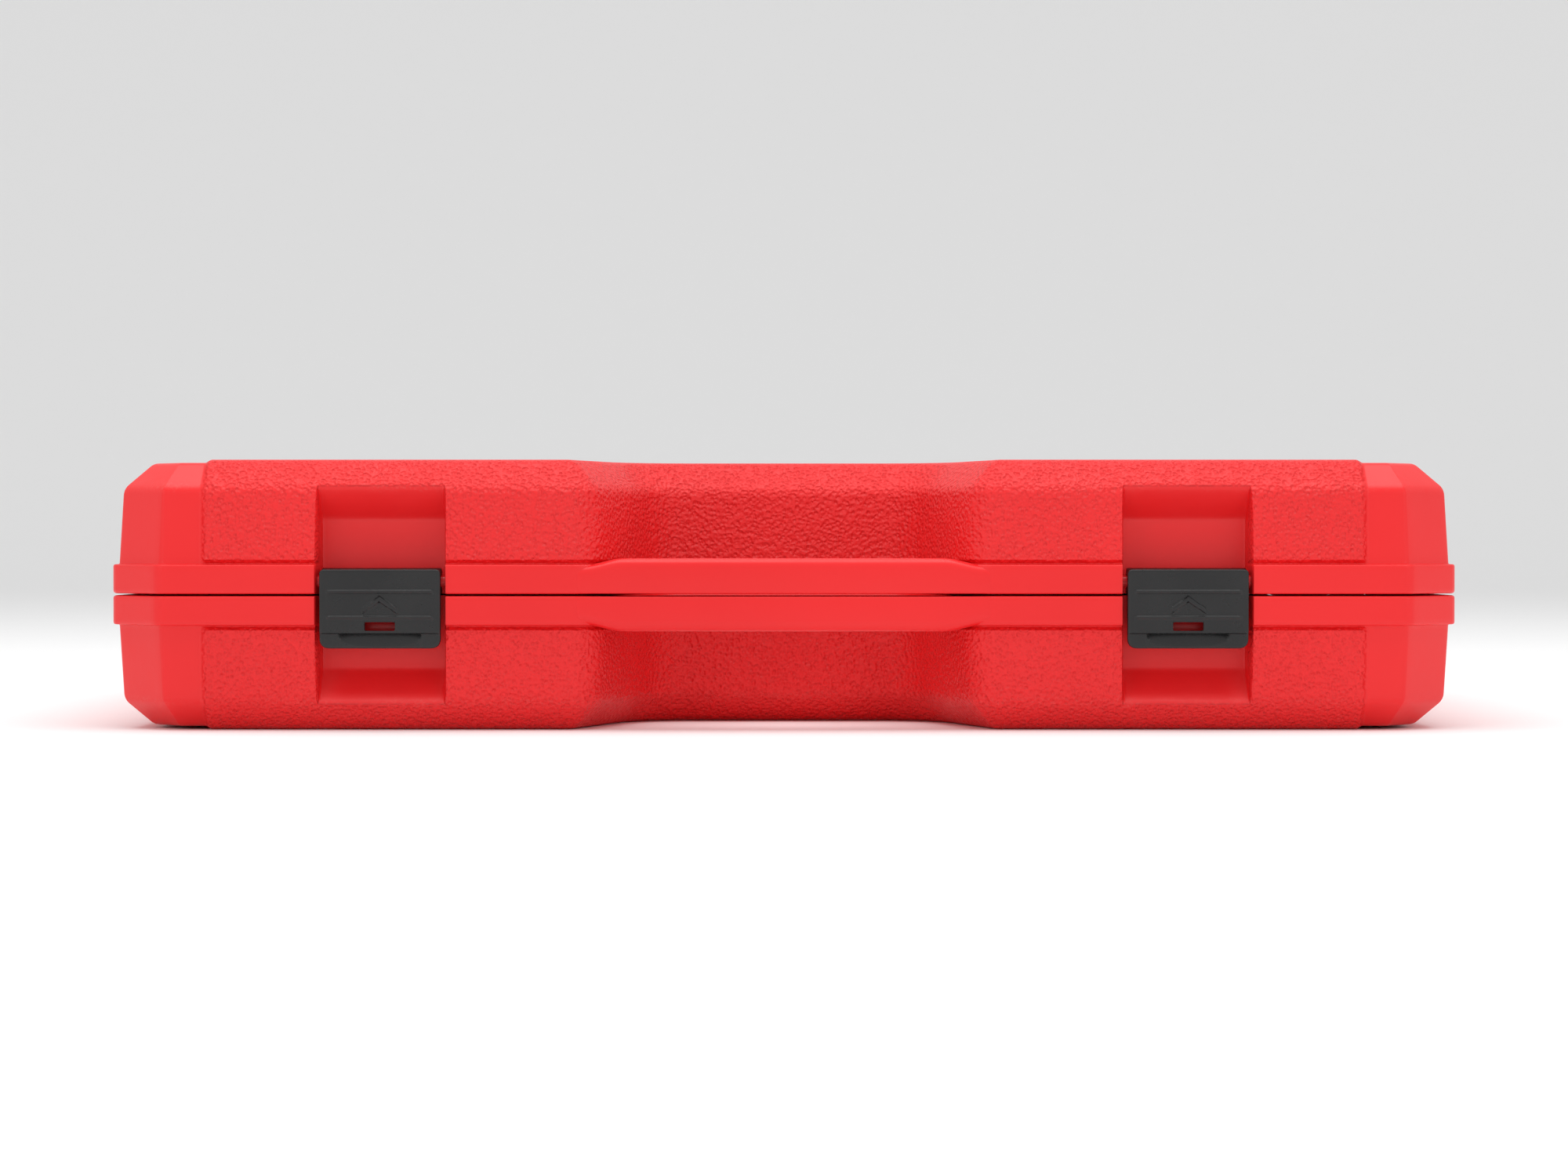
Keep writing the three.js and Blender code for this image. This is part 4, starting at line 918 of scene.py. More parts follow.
def hinge_pins():
    for pin in [n for n in NODES if n.startswith("hinge_pin")]:
        low, high = millimetres(pin)
        radius, length = (high.z - low.z) / 2, high.x - low.x
        profile = [(0, 0), (radius - 0.3, 0), (radius, 0.3)]
        profile += [(radius, length - 0.3), (radius - 0.3, length), (0, length)]
        mesh = turned(profile, "x", (low.x, HINGE_Y, 0), 24)
        show(f"{pin}_wire", mesh, STEEL, "base", "plain_steel", pin)


# ------------------------------------------------------------------ turned and lofted metal

def circle(radius):
    return lambda angle: np.full(len(angle), float(radius))


def flats(across, sides, turn=0.0):
    """Radius of a regular polygon by its size across flats, at an angle."""
    step = 2 * math.pi / sides
    return lambda angle: across / 2 / np.cos((angle + turn + step / 2) % step - step / 2)


# Turns two coordinates across an axis and one along it into x, y and z.
TURNS = {
    "x": lambda u, v, w: (w, u, v),
    "y": lambda u, v, w: (v, w, u),
    "z": lambda u, v, w: (u, v, w),
}


def ring_points(rings, axis, place, steps):
    """Points round the axis for each (distance along the axis, radius function)."""
    angle = np.arange(steps) * 2 * math.pi / steps
    points = []
    for along, radius in rings:
        r = radius(angle)
        for u, v in zip(r * np.cos(angle), r * np.sin(angle)):
            x, y, z = TURNS[axis](u, v, along)
            points.append((x + place[0], y + place[1], z + place[2]))
    return points


def loft(rings, axis, place, steps=72):
    """A skin over rings of (distance along the axis, radius function), closed by a face at each end."""
    points = ring_points(rings, axis, place, steps)
    faces = []
    for ring in range(len(rings) - 1):
        for i in range(steps):
            j = (i + 1) % steps
            a, b = ring * steps, (ring + 1) * steps
            faces.append((a + i, a + j, b + j, b + i))
    last = (len(rings) - 1) * steps
    faces.append(tuple(range(steps))[::-1])
    faces.append(tuple(range(last, last + steps)))
    return mesh_of("loft", points, faces)


def turned(profile, axis, place, steps=48):
    """A skin of revolution over (radius, distance) pairs."""
    rings = [(along, circle(max(radius, 0.02))) for radius, along in profile]
    return loft(rings, axis, place, steps)


hinge_knuckles()
hinge_pins()


# ------------------------------------------------------------------ carrying handle

GRIP_TOP = 11.4
GRIP_SINK = 0.1  # the bar's parting face behind the flange's, so that the two share no plane


def grip_section(front, top):
    """Half of the bar's section, as pairs of y and height."""
    back = FRONT_Y + 20
    low = GAP + GRIP_SINK
    outline = [(front + 0.8, low), (back - 0.8, low)]
    outline += fillet((back, low), (1, 0), (0, 1), 0.8, 3)
    outline += fillet((back, top), (0, 1), (-1, 0), 4.5, 8)
    outline += fillet((front, top), (-1, 0), (0, -1), 3.2, 8)
    outline += fillet((front, low), (0, -1), (1, 0), 0.7, 4)
    kept = [outline[0]]
    for point in outline[1:]:
        if math.dist(point, kept[-1]) > 0.02:
            kept.append(point)
    return kept


def grip_half(side):
    """Half of the bar across the hand opening; its ends sink into the flange and run out level with it."""
    reach = HANDLE_MOUTH + 9
    points, count = [], 0
    xs = np.linspace(-reach, reach, 91)
    for x in xs:
        end = float(smoothstep(abs(x), HANDLE_MOUTH - 8, HANDLE_MOUTH + 5))
        section = grip_section(FRONT_Y + 0.25 * end, lerp(GRIP_TOP, FLANGE - 0.3, end))
        count = len(section)
        points += [(x, y, side * z) for y, z in section]
    faces = [tuple(range(count)), tuple(range(len(points) - 1, len(points) - count - 1, -1))]
    for i in range(len(xs) - 1):
        for k in range(count):
            m = (k + 1) % count
            faces.append((i * count + k, (i + 1) * count + k, (i + 1) * count + m, i * count + m))
    return mesh_of("grip", points, faces)


for side, body in ((1, "lid"), (-1, "base")):
    show(f"{body}_handle_bar", joined("grip", [grip_half(side)]), RED, body, "case_red")


# ------------------------------------------------------------------ latches

PLATE = 2.4
LIP_HEIGHT = 4.6
LIP_INSET = 0.9
SLOT_HALF, SLOT_TOP, SLOT_HEIGHT = 4.75, -8.4, 2.7
SCOOP_HALF, SCOOP_DEEP = 13, 1.3
RIDGES = (1.1, -6.9)
ARROW_TOP, ARROW_DROP, ARROW_HALF, ARROW_STROKE = -0.2, 3.8, 5.4, 1.9
MARK_HEIGHT = 0.55


def latch_relief(x, z):
    """How far the latch's face stands out at a place on it: ridges, a plain arrow and the lip."""
    out = np.zeros(len(x))
    for ridge in RIDGES:
        line = smoothstep(0.55 - abs(z - ridge), 0, 0.3) * smoothstep(16.6 - abs(x), 0, 0.5)
        out = np.maximum(out, 0.45 * line)
    arm = ARROW_TOP - abs(x) * ARROW_DROP / ARROW_HALF
    inside_arrow = np.minimum(arm - z, z - (arm - ARROW_STROKE))
    arrow = smoothstep(inside_arrow, -0.1, 0.25) * smoothstep(ARROW_HALF - abs(x), 0, 0.3)
    out = np.maximum(out, MARK_HEIGHT * arrow)
    split = LIP_HEIGHT + LATCH_LOW.z
    lip = smoothstep(split - z, -0.2, 0.2)
    scoop = smoothstep(SCOOP_HALF - abs(x), -0.2, 0.9)
    arc = np.sqrt(np.clip(1 - (x / (SCOOP_HALF + 1)) ** 2, 0, 1))
    slope = np.clip((z - LATCH_LOW.z - LIP_HEIGHT * (1 - 0.9 * arc)) / (LIP_HEIGHT * arc * 0.9 + 0.1), 0, 1)
    return out - lip * (LIP_INSET * 0.75 + SCOOP_DEEP * scoop * (0.25 + 0.75 * slope))


def rounded_rectangle(low, high, roundings, steps=6):
    """Points round a rectangle, anticlockwise from the bottom left, with a rounding for each corner."""
    corners = [(low[0], low[1]), (high[0], low[1]), (high[0], high[1]), (low[0], high[1])]
    ways = [((0, -1), (1, 0)), ((1, 0), (0, 1)), ((0, 1), (-1, 0)), ((-1, 0), (0, -1))]
    points = []
    for corner, (before, after), rounding in zip(corners, ways, roundings):
        points += fillet(corner, before, after, rounding, steps)
    return points


def spaced(outline, gap):
    """The outline with extra points, so that none are further apart than the gap."""
    points = []
    for a, b in zip(outline, outline[1:] + outline[:1]):
        count = max(1, math.ceil(math.dist(a, b) / gap))
        points += [(lerp(a[0], b[0], i / count), lerp(a[1], b[1], i / count)) for i in range(count)]
    return points


def latch_plate(centre):
    """The latch's face as a relief over its outline, with the slot through it."""
    face = LATCH_LOW.y
    half = (LATCH_HIGH.x - LATCH_LOW.x) / 2
    edge = 0.45
    low, high = (-half + edge, LATCH_LOW.z + edge), (half - edge, 8 - edge)
    outline = spaced(rounded_rectangle(low, high, (2.6, 2.6, 1.0, 1.0)), 0.8)
    slot = rounded_rectangle(
        (-SLOT_HALF, SLOT_TOP - SLOT_HEIGHT), (SLOT_HALF, SLOT_TOP), (0.5, 0.5, 0.5, 0.5), 3
    )
    xs = np.arange(-half, half, 0.4)
    zs = np.concatenate([np.arange(LATCH_LOW.z, 8, 0.3), around(LIP_HEIGHT + LATCH_LOW.z, [-0.2, 0, 0.2])])
    grid = np.array([(x, z) for x in xs for z in zs])
    grid = inside(grid, np.array(outline), 0.25)
    hole = np.array(slot)
    middle = hole.mean(axis=0)
    far = (abs(grid[:, 0]) > SLOT_HALF + 0.15) | (abs(grid[:, 1] - middle[1]) > SLOT_HEIGHT / 2 + 0.15)
    grid = grid[far]
    rim, gap_rim = len(outline), len(slot)
    coords = [Vector(p) for p in [*outline, *slot, *grid.tolist()]]
    edges = [(i, (i + 1) % rim) for i in range(rim)]
    edges += [(rim + i, rim + (i + 1) % gap_rim) for i in range(gap_rim)]
    found = delaunay_2d_cdt(coords, edges, [], 1, 1e-5)
    places = np.array([tuple(v) for v in found[0]])
    out = latch_relief(places[:, 0], places[:, 1])
    points = [(centre + x, face - h, z) for (x, z), h in zip(places, out)]
    faces = []
    for triangle in found[2]:
        mid = places[list(triangle)].mean(axis=0)
        if abs(mid[0]) < SLOT_HALF and abs(mid[1] - middle[1]) < SLOT_HEIGHT / 2:
            continue
        faces.append(tuple(triangle))
    where = {}
    for i, origin in enumerate(found[3]):
        for o in origin:
            where.setdefault(o, i)
    skirt = [(0.0, 0.0), (edge * 0.7, edge * 0.25), (edge, edge), (edge, PLATE)]
    last = [where[i] for i in range(rim)]
    normals = []
    for i in range(rim):
        a, b = np.array(outline[i - 1]), np.array(outline[(i + 1) % rim])
        along = (b - a) / (np.linalg.norm(b - a) + 1e-9)
        normals.append(np.array([along[1], -along[0]]))
    drop = [points[i][1] - face for i in last]
    for grow, back in skirt[1:]:
        ring = []
        for i in range(rim):
            x, z = np.array(outline[i]) + normals[i] * grow
            points.append((centre + x, face + max(back, drop[i] + min(back, edge)), z))
            ring.append(len(points) - 1)
        faces += [(last[i], last[(i + 1) % rim], ring[(i + 1) % rim], ring[i]) for i in range(rim)]
        last = ring
    back_ring = last
    last = [where[rim + i] for i in range(gap_rim)]
    ring = []
    for x, z in slot:
        points.append((centre + x, face + PLATE, z))
        ring.append(len(points) - 1)
    faces += [(last[(i + 1) % gap_rim], last[i], ring[i], ring[(i + 1) % gap_rim]) for i in range(gap_rim)]
    back_coords = [Vector((points[i][0], points[i][2])) for i in [*back_ring, *ring]]
    loops = [(i, (i + 1) % rim) for i in range(rim)]
    loops += [(rim + i, rim + (i + 1) % gap_rim) for i in range(gap_rim)]
    fill = delaunay_2d_cdt(back_coords, loops, [], 1, 1e-6)
    indices = [*back_ring, *ring]
    for triangle in fill[2]:
        corners = [indices[fill[3][i][0]] for i in triangle]
        mid = sum((np.array(points[i]) for i in corners), np.zeros(3)) / 3
        if abs(mid[0] - centre) < SLOT_HALF and abs(mid[2] - middle[1]) < SLOT_HEIGHT / 2:
            continue
        faces.append(tuple(corners)[::-1])
    return mesh_of("plate", points, faces)


def latch_claw(centre):
    """The claw that clips on to the lid's bar, the arm to it, and the hook for the base's ledge."""
    face = LATCH_LOW.y
    half = (LATCH_HIGH.x - LATCH_LOW.x) / 2
    inner, outer = 2.2, 4.2
    ring = sector(LATCH_AXIS_Y, LATCH_AXIS_Z, inner, outer, 42, 318, 28)
    parts = [rounded(prism(ring, centre - half + 0.2, centre + half - 0.2, "x"), 0.25)]
    reach = LATCH_AXIS_Y - inner
    parts.append(
        block(centre - half + 0.4, centre + half - 0.4, face + PLATE - 0.5, reach - 0.6,
              LATCH_AXIS_Z - 1.6, LATCH_AXIS_Z + 1.6, 0.2)
    )
    hook_top = -12.0
    parts.append(
        block(centre - 15, centre + 15, face + PLATE - 0.5, FRONT_Y + 5.2, hook_top - 2.4, hook_top, 0.4)
    )
    return parts


def latch(node_name, body):
    low, high = millimetres(node_name)
    centre = (low.x + high.x) / 2
    mesh = joined("latch", [latch_plate(centre), *latch_claw(centre)])
    show(f"{node_name}_clip", mesh, BLACK, body, "latch_black", node_name, sharp=50)


def latch_fixtures():
    """The bars across the lid's pockets and the ledges at the back of the base's pockets."""
    bars, ledges = [], []
    reach = POCKET_HALF + 1
    for x in (-LATCH_X, LATCH_X):
        bars.append(turned([(0, 0), (1.9, 0), (1.9, 2 * reach), (0, 2 * reach)], "x",
                           (x - reach, LATCH_AXIS_Y, LATCH_AXIS_Z), 24))
        ledges.append(block(x - 15, x + 15, FRONT_Y + 5.6, FRONT_Y + 13, -12, -8.4, 0.5))
    show("latch_bars", joined("bars", bars), RED, "lid", "case_red")
    show("latch_ledges", joined("ledges", ledges), RED, "base", "case_red")


latch("latch_left", "left_latch")
latch("latch_right", "right_latch")
latch_fixtures()

# ------------------------------------------------------------------ tools

DRIVE = 12.7
DRIVE_LENGTH = 16
HOLE = DRIVE + 0.5
BALL = 2.2
KNURL = 0.25
NUT_SHARE = 0.72


def rounded_flats(across, sides, rounding, turn=0.0):
    """A polygon's radius at an angle, with its corners rounded off."""
    plain = flats(across, sides, turn)
    top = across / 2 / math.cos(math.pi / sides) - rounding
    return lambda angle: soft_min_array(plain(angle), top, rounding)


def soft_min_array(a, b, k):
    h = np.clip(0.5 + 0.5 * (b - a) / k, 0, 1)
    return b + (a - b) * h - k * h * (1 - h)


def knurled(radius, depth, count):
    return lambda angle: radius - depth * (0.5 - 0.5 * np.cos(count * angle)) ** 0.6


def tube(outside, inside_rings, axis, place, steps=96):
    """One skin that goes along the outside and back down the bore; both are ring lists that rise."""
    rings = [*outside, *reversed(inside_rings)]
    points = ring_points(rings, axis, place, steps)
    faces = []
    for ring in range(len(rings)):
        after = (ring + 1) % len(rings)
        for i in range(steps):
            j = (i + 1) % steps
            faces.append((ring * steps + i, ring * steps + j, after * steps + j, after * steps + i))
    return mesh_of("tube", points, faces)


def rounded_end(radius, start, way, amount=0.8, steps=3):
    """Rings that round an outer edge: `way` is 1 where the tool starts and -1 where it ends."""
    rings = []
    for i in range(steps + 1):
        angle = math.pi / 2 * i / steps
        along = start + way * amount * (1 - math.cos(angle))
        rings.append((along, circle(radius - amount * (1 - math.sin(angle)))))
    return rings if way > 0 else rings[::-1]


NUT_ENDS = {10: 15.6, 12: 17.6, 13: 18.6, 14: 20, 15: 21.4, 17: 24, 19: 26.4}  # outside, by size
DEEP_NUT_ENDS = {13: 19}
SPARK_NUT_ENDS = {16: 21.6, 21: 27}
DRIVE_ENDS = {17: 23, 19: 24, 21: 24, 22: 26, 24: 27, 27: 30, 30: 32, 32: 34}
SMALL_DRIVE_END = 22
SQUARE_HOLE = rounded_flats(HOLE, 4, 0.5, math.pi / 4)
SQUARE_MOUTH = rounded_flats(HOLE + 1.2, 4, 0.5, math.pi / 4)


def socket(name):
    """A six-point socket: nut end towards the front, drive end behind with a knurled band."""
    low, high = millimetres(name)
    length = high.y - low.y
    x, z = (low.x + high.x) / 2, (low.z + high.z) / 2
    size = float(name.split("_")[-1])
    nut = NUT_ENDS.get(size, high.x - low.x)
    if name.startswith("deep"):
        nut = DEEP_NUT_ENDS.get(size, nut)
    if name.startswith("spark"):
        nut = SPARK_NUT_ENDS[size]
    drive = DRIVE_ENDS.get(size, SMALL_DRIVE_END)
    nut_radius, drive_radius = nut / 2, drive / 2
    deep = size * NUT_SHARE + 0.8
    shoulder = min(length - DRIVE_LENGTH, deep + 4)
    run = abs(nut_radius - drive_radius) + 0.8
    outer = rounded_end(nut_radius, 0, 1)
    outer.append((shoulder - 0.2, circle(nut_radius)))
    for t in np.linspace(0.1, 1, 6):
        outer.append((shoulder + run * t, circle(lerp(nut_radius, drive_radius, float(smoothstep(t, 0, 1))))))
    band = max(shoulder + run + 1.2, length - 9.5)
    if band + 3 < length - 2.4:
        groove, knurl = circle(drive_radius - 0.35), knurled(drive_radius - 0.02, KNURL, 48)
        outer += [(band - 0.5, circle(drive_radius)), (band - 0.3, groove), (band, groove)]
        outer += [(band + 0.2, knurl), (length - 2.8, knurl)]
        outer += [(length - 2.6, groove), (length - 2.3, groove), (length - 2.1, circle(drive_radius))]
    outer += rounded_end(drive_radius, length, -1)
    hexagon = rounded_flats(size + 0.25, 6, 0.35)
    mouth = circle(min(nut_radius - 0.9, size * 0.61))
    neck = circle(min(size - 1, 11.6) / 2)
    inner = [(0.3, mouth), (1.3, hexagon), (deep, hexagon), (deep + 0.15, neck)]
    inner += [(length - DRIVE_LENGTH - 0.1, neck), (length - DRIVE_LENGTH, SQUARE_HOLE)]
    inner += [(length - 0.9, SQUARE_HOLE), (length - 0.1, SQUARE_MOUTH)]
    mesh = tube(outer, inner, "y", (x, low.y, z), 144)
    show(f"{name}_detail", mesh, CHROME, "base", "chrome", name, sharp=32)


def ball(place):
    """The spring ball in the side of a drive square."""
    profile = [(BALL * math.sin(a), -BALL * math.cos(a)) for a in np.linspace(0, math.pi, 13)]
    return turned(profile, "z", place, 24)


def drive_square(axis, place, start):
    """A drive square with rounded corners and a chamfered tip, and its ball."""
    full = rounded_flats(DRIVE, 4, 0.5, math.pi / 4)
    tip = rounded_flats(DRIVE - 2, 4, 0.5, math.pi / 4)
    rings = [(start - 0.8, full), (start + DRIVE_LENGTH - 1.1, full), (start + DRIVE_LENGTH, tip)]
    mesh = loft(rings, axis, place, 96)
    middle = start + DRIVE_LENGTH / 2
    proud = DRIVE / 2 - BALL + 0.8
    at = (place[0] + middle, place[1], place[2] + proud)
    if axis == "y":
        at = (place[0], place[1] + middle, place[2] + proud)
    return [mesh, ball(at)]


def extension(name):
    low, high = millimetres(name)
    axis = "x" if high.x - low.x > high.y - low.y else "y"
    length = high.x - low.x if axis == "x" else high.y - low.y
    place = ((low.x + high.x) / 2, low.y, TOOL_Z)
    if axis == "x":
        place = (low.x, (low.y + high.y) / 2, TOOL_Z)
    head, shaft, end = 11, 6.7, length - DRIVE_LENGTH
    outer = rounded_end(head, 0, 1)
    groove, knurl = circle(head - 0.35), knurled(head, KNURL, 48)
    outer += [(6.8, circle(head)), (7, groove), (7.3, groove), (7.5, knurl)]
    outer += [(17.5, knurl), (17.7, groove), (18, groove), (18.2, circle(head)), (24, circle(head))]
    for t in np.linspace(0.1, 1, 8):
        outer.append((24 + 6 * t, circle(lerp(head, shaft, float(smoothstep(t, 0, 1))))))
    outer += rounded_end(shaft, end, -1)
    outer.append((end, circle(0.02)))
    inner = [(0.1, SQUARE_MOUTH), (0.9, SQUARE_HOLE), (DRIVE_LENGTH - 0.1, SQUARE_HOLE)]
    inner.append((DRIVE_LENGTH, circle(0.02)))
    body = tube(outer, inner, axis, place, 144)
    mesh = joined("extension", [body, *drive_square(axis, place, end)])
    show(f"{name}_detail", mesh, CHROME, "base", "chrome", name, sharp=32)


def ratchet_grip():
    """A soft sleeve: rings round its thinner half, lengthwise flutes on the swell and a smooth end cap."""
    low, high = GRIP_LOW, GRIP_HIGH
    length = high.x - low.x
    thin, thick = 13.0, (high.y - low.y) / 2
    rings = []
    for x in np.arange(0, length + 0.01, 0.5):
        base = lerp(thin, thick, float(smoothstep(x, length / 2, length / 2 + 24)))
        edge = min(x, length - x)
        base -= 3.2 - math.sqrt(max(3.2**2 - max(3.2 - edge, 0) ** 2, 0)) if edge < 3.2 else 0
        if 8 < x < length / 2 - 4:
            base -= 0.55 * (0.5 + 0.5 * math.cos((x - 8) * 2 * math.pi / 4)) ** 4
        flute = float(smoothstep(x, length / 2 + 22, length / 2 + 27) * smoothstep(length - 7 - x, 0, 5))
        rings.append((x, fluted(base, 0.5 * flute, 16)))
    bore = [(0, circle(8.3)), (12, circle(8.3)), (12.1, circle(0.02))]
    outer = [(-0.001, circle(9.2)), *rings[1:], (length, circle(0.02))]
    mesh = tube(outer, bore, "x", (low.x, GEAR_Y, TOOL_Z), 128)
    show("ratchet_grip_sleeve", mesh, RUBBER, "base", "grip_black", "ratchet_grip", sharp=50)


def fluted(radius, depth, count):
    return lambda angle: radius - depth * (0.5 + 0.5 * np.cos(count * angle)) ** 3


# ------------------------------------------------------------------ ratchet

HEAD_TOP = HEAD_HIGH.z
HEAD_FLOOR = HEAD_LOW.z
COVER = 2.0
COVER_MARGIN = 2.5
GEAR_LOW_Z = HEAD_TOP - COVER - 11 - 0.6


def head_plan(inset):
    """Radius about the gear of the head's plan: round over the gear, with a smaller round over the pawl."""
    big, small, apart = HEAD_RADIUS - inset, NECK_RADIUS - inset, PAWL_X - GEAR_X

    def radius(angle):
        room = small**2 - (apart * np.sin(angle)) ** 2
        reach = apart * np.cos(angle) + np.sqrt(np.maximum(room, 0))
        return np.where((room > 0) & (np.cos(angle) > 0), np.maximum(big, reach), big)

    return radius


def disc(radius, x, low, high, steps=64):
    return loft([(low, circle(radius)), (high, circle(radius))], "z", (x, GEAR_Y, 0), steps)


def softened(low, high, bottom, top, steps=4):
    """Rings for a head-shaped plate whose bottom and top edges are rounded."""
    rings = []
    for i in range(steps + 1):
        angle = math.pi / 2 * i / steps
        rings.append((low + bottom * (1 - math.cos(angle)), bottom * (1 - math.sin(angle))))
    for i in range(steps + 1):
        angle = math.pi / 2 * (1 - i / steps)
        rings.append((high - top * (1 - math.cos(angle)), top * (1 - math.sin(angle))))
    return rings


def ratchet_body():
    place = (GEAR_X, GEAR_Y, 0)
    rings = [(z, head_plan(inset)) for z, inset in softened(HEAD_FLOOR, HEAD_TOP, 2.2, 0.8)]
    head = loft(rings, "z", place, 192)
    above = HEAD_TOP + 1
    seat = head_plan(COVER_MARGIN)
    recess = loft([(HEAD_TOP - COVER - 0.3, seat), (above, seat)], "z", place, 192)
    rooms = [
        disc(12.9, GEAR_X, GEAR_LOW_Z - 0.3, above),
        disc(10.1, GEAR_X, HEAD_FLOOR - 1, above),
        disc(8.6, PAWL_X, GEAR_LOW_Z - 0.3, above),
    ]
    head = cut_out(head, [recess, *rooms])
    start = PAWL_X + NECK_RADIUS - 4 - GEAR_X
    grip = GRIP_LOW.x - GEAR_X
    profile = [(0, start), (11.2, start)]
    for t in np.linspace(0.1, 1, 10):
        profile.append((lerp(11.2, 7.6, float(smoothstep(t, 0, 1))), start + t * 22))
    tail = HEAD_HIGH.x - GEAR_X
    profile += [(7.6, grip - 14), (7.9, grip - 10), (8, grip + 2), (8, tail), (0, tail)]
    shank = turned(profile, "x", (GEAR_X, GEAR_Y, TOOL_Z), 64)
    mesh = joined("ratchet", [head, shank])
    show("ratchet_forging", mesh, SATIN, "base", "chrome", "ratchet_body", sharp=32)


def ratchet_cover():
    place = (GEAR_X, GEAR_Y, 0)
    edges = softened(HEAD_TOP - COVER, HEAD_TOP, 0.05, 0.5)
    rings = [(z, head_plan(COVER_MARGIN + 0.3 + inset)) for z, inset in edges]
    plate = loft(rings, "z", place, 192)
    below, above = HEAD_TOP - COVER - 1, HEAD_TOP + 1
    plate = cut_out(plate, [disc(4.5, GEAR_X, below, above), disc(2.9, PAWL_X, below, above)])
    show("ratchet_cover_plate", plate, CHROME, "base", "chrome", "ratchet_cover", sharp=32)


def cover_screw(name):
    low, high = millimetres(name)
    x, y = (low.x + high.x) / 2, (low.y + high.y) / 2
    dome = [(2 * math.cos(a), high.z - 0.75 + 0.75 * math.sin(a)) for a in np.linspace(0, math.pi / 2, 8)]
    head = turned([(0, high.z - 0.9), (1.95, high.z - 0.9), *dome], "z", (x, y, 0), 32)
    slots = [
        block(x - u, x + u, y - v, y + v, high.z - 0.45, high.z + 1, 0.05)
        for u, v in ((1.2, 0.22), (0.22, 1.2))
    ]
    neck = high.z - 0.9
    shaft = turned([(0, low.z), (0.8, low.z), (1, low.z + 0.3), (1, neck), (0, neck)], "z", (x, y, 0), 20)
    mesh = joined("screw", [cut_out(head, slots), shaft])
    show(f"{name}_detail", mesh, STEEL, "base", "plain_steel", name, sharp=32)


def release_button():
    low, high = millimetres("release_button")
    quarter, edge = math.pi / 2, high.z - 0.6
    rim = [(4.2 - 0.6 * (1 - math.cos(a)), edge + 0.6 * math.sin(a)) for a in np.linspace(0, quarter, 5)]
    dish = [(2.8 * math.cos(a), high.z - 0.5 * math.sin(a)) for a in np.linspace(0, quarter, 6)]
    knob = [(2.4, HEAD_TOP - 0.7 + 0.3), (4.2, HEAD_TOP - 0.7 + 0.3)]
    profile = [(0, low.z), (2.0, low.z), (2.4, low.z + 0.4), *knob, *rim, *dish]
    mesh = turned(profile, "z", (GEAR_X, GEAR_Y, 0), 64)
    show("release_button_cap", mesh, STEEL, "release", "plain_steel", "release_button", sharp=32)


def reversing_lever():
    low, high = millimetres("reversing_lever")
    floor, top = HEAD_TOP + 0.3, high.z
    round_part = np.linspace(math.radians(32), math.radians(328), 40)
    outline = [(6.4 * math.cos(a), 6.4 * math.sin(a)) for a in round_part]
    reach = high.x - PAWL_X
    outline += [(7.5, -3.1), (reach - 2, -2.7)]
    outline += [(reach - 2 + 2 * math.cos(a), 2.7 * math.sin(a)) for a in np.linspace(-1.4, 1.4, 9)]
    outline += [(reach - 2, 2.7), (7.5, 3.1)]
    plan = [(PAWL_X + x, GEAR_Y + y) for x, y in outline]
    plate = rounded(prism(plan, floor, top - 0.9, "z"), 0.5, 3, 40)
    ridges = [
        block(PAWL_X + x, PAWL_X + x + 0.8, GEAR_Y - 2.3, GEAR_Y + 2.3, top - 1.2, top, 0.25)
        for x in (8, 9.8, 11.2)
    ]
    pivot = (PAWL_X, GEAR_Y, 0)
    cap = turned([(0, top - 1.2), (4.4, top - 1.2), (4.4, top - 0.4), (4.0, top), (0, top)], "z", pivot, 48)
    stem = turned([(0, low.z), (2.6, low.z), (2.6, floor + 0.5), (0, floor + 0.5)], "z", pivot, 32)
    mesh = joined("lever", [plate, cap, stem, *ridges])
    show("reversing_lever_detail", mesh, CHROME, "reverser", "chrome", "reversing_lever", sharp=32)


# ------------------------------------------------------------------ universal joint

def yoke(name, start, end, ears):
    """A round body from `start` to `end` along Y, with two ears past `ears`."""
    low, high = millimetres("universal_socket_yoke")
    x, y, z, radius = (low.x + high.x) / 2, low.y, TOOL_Z, (high.x - low.x) / 2
    first, last = min(start, end), max(start, end)
    rings = rounded_end(radius, first, 1) + rounded_end(radius, last, -1)
    body = loft(rings, "y", (x, y, z), 96)
    to = end + (3 if end > start else -3)
    y0, y1 = sorted((y + ears, y + to))
    pin_hole = [(0, 0), (3.3, 0), (3.3, 40), (0, 40)]
    if start < end:
        cutters = [
            block(x - 20, x + 20, y0, y1, z + 7, z + 20, 0.01),
            block(x - 20, x + 20, y0, y1, z - 20, z - 7, 0.01),
            block(x - 7.3, x + 7.3, y0, y1, z - 21, z + 21, 0.01),
            turned(pin_hole, "x", (x - 20, y + 33, z), 32),
            block(x - HOLE / 2, x + HOLE / 2, y - 1, y + DRIVE_LENGTH, z - HOLE / 2, z + HOLE / 2, 0.4),
        ]
        extra = []
    else:
        cutters = [
            block(x + 7, x + 20, y0, y1, z - 20, z + 20, 0.01),
            block(x - 20, x - 7, y0, y1, z - 20, z + 20, 0.01),
            block(x - 21, x + 21, y0, y1, z - 7.3, z + 7.3, 0.01),
            turned(pin_hole, "z", (x, y + 33, z - 20), 32),
        ]
        extra = drive_square("y", (x, y, z), last)
    mesh = joined(name, [rounded(cut_out(body, cutters), 0.35, 2, 40), *extra])
    show(f"{name}_detail", mesh, CHROME, "base", "chrome", name, sharp=32)


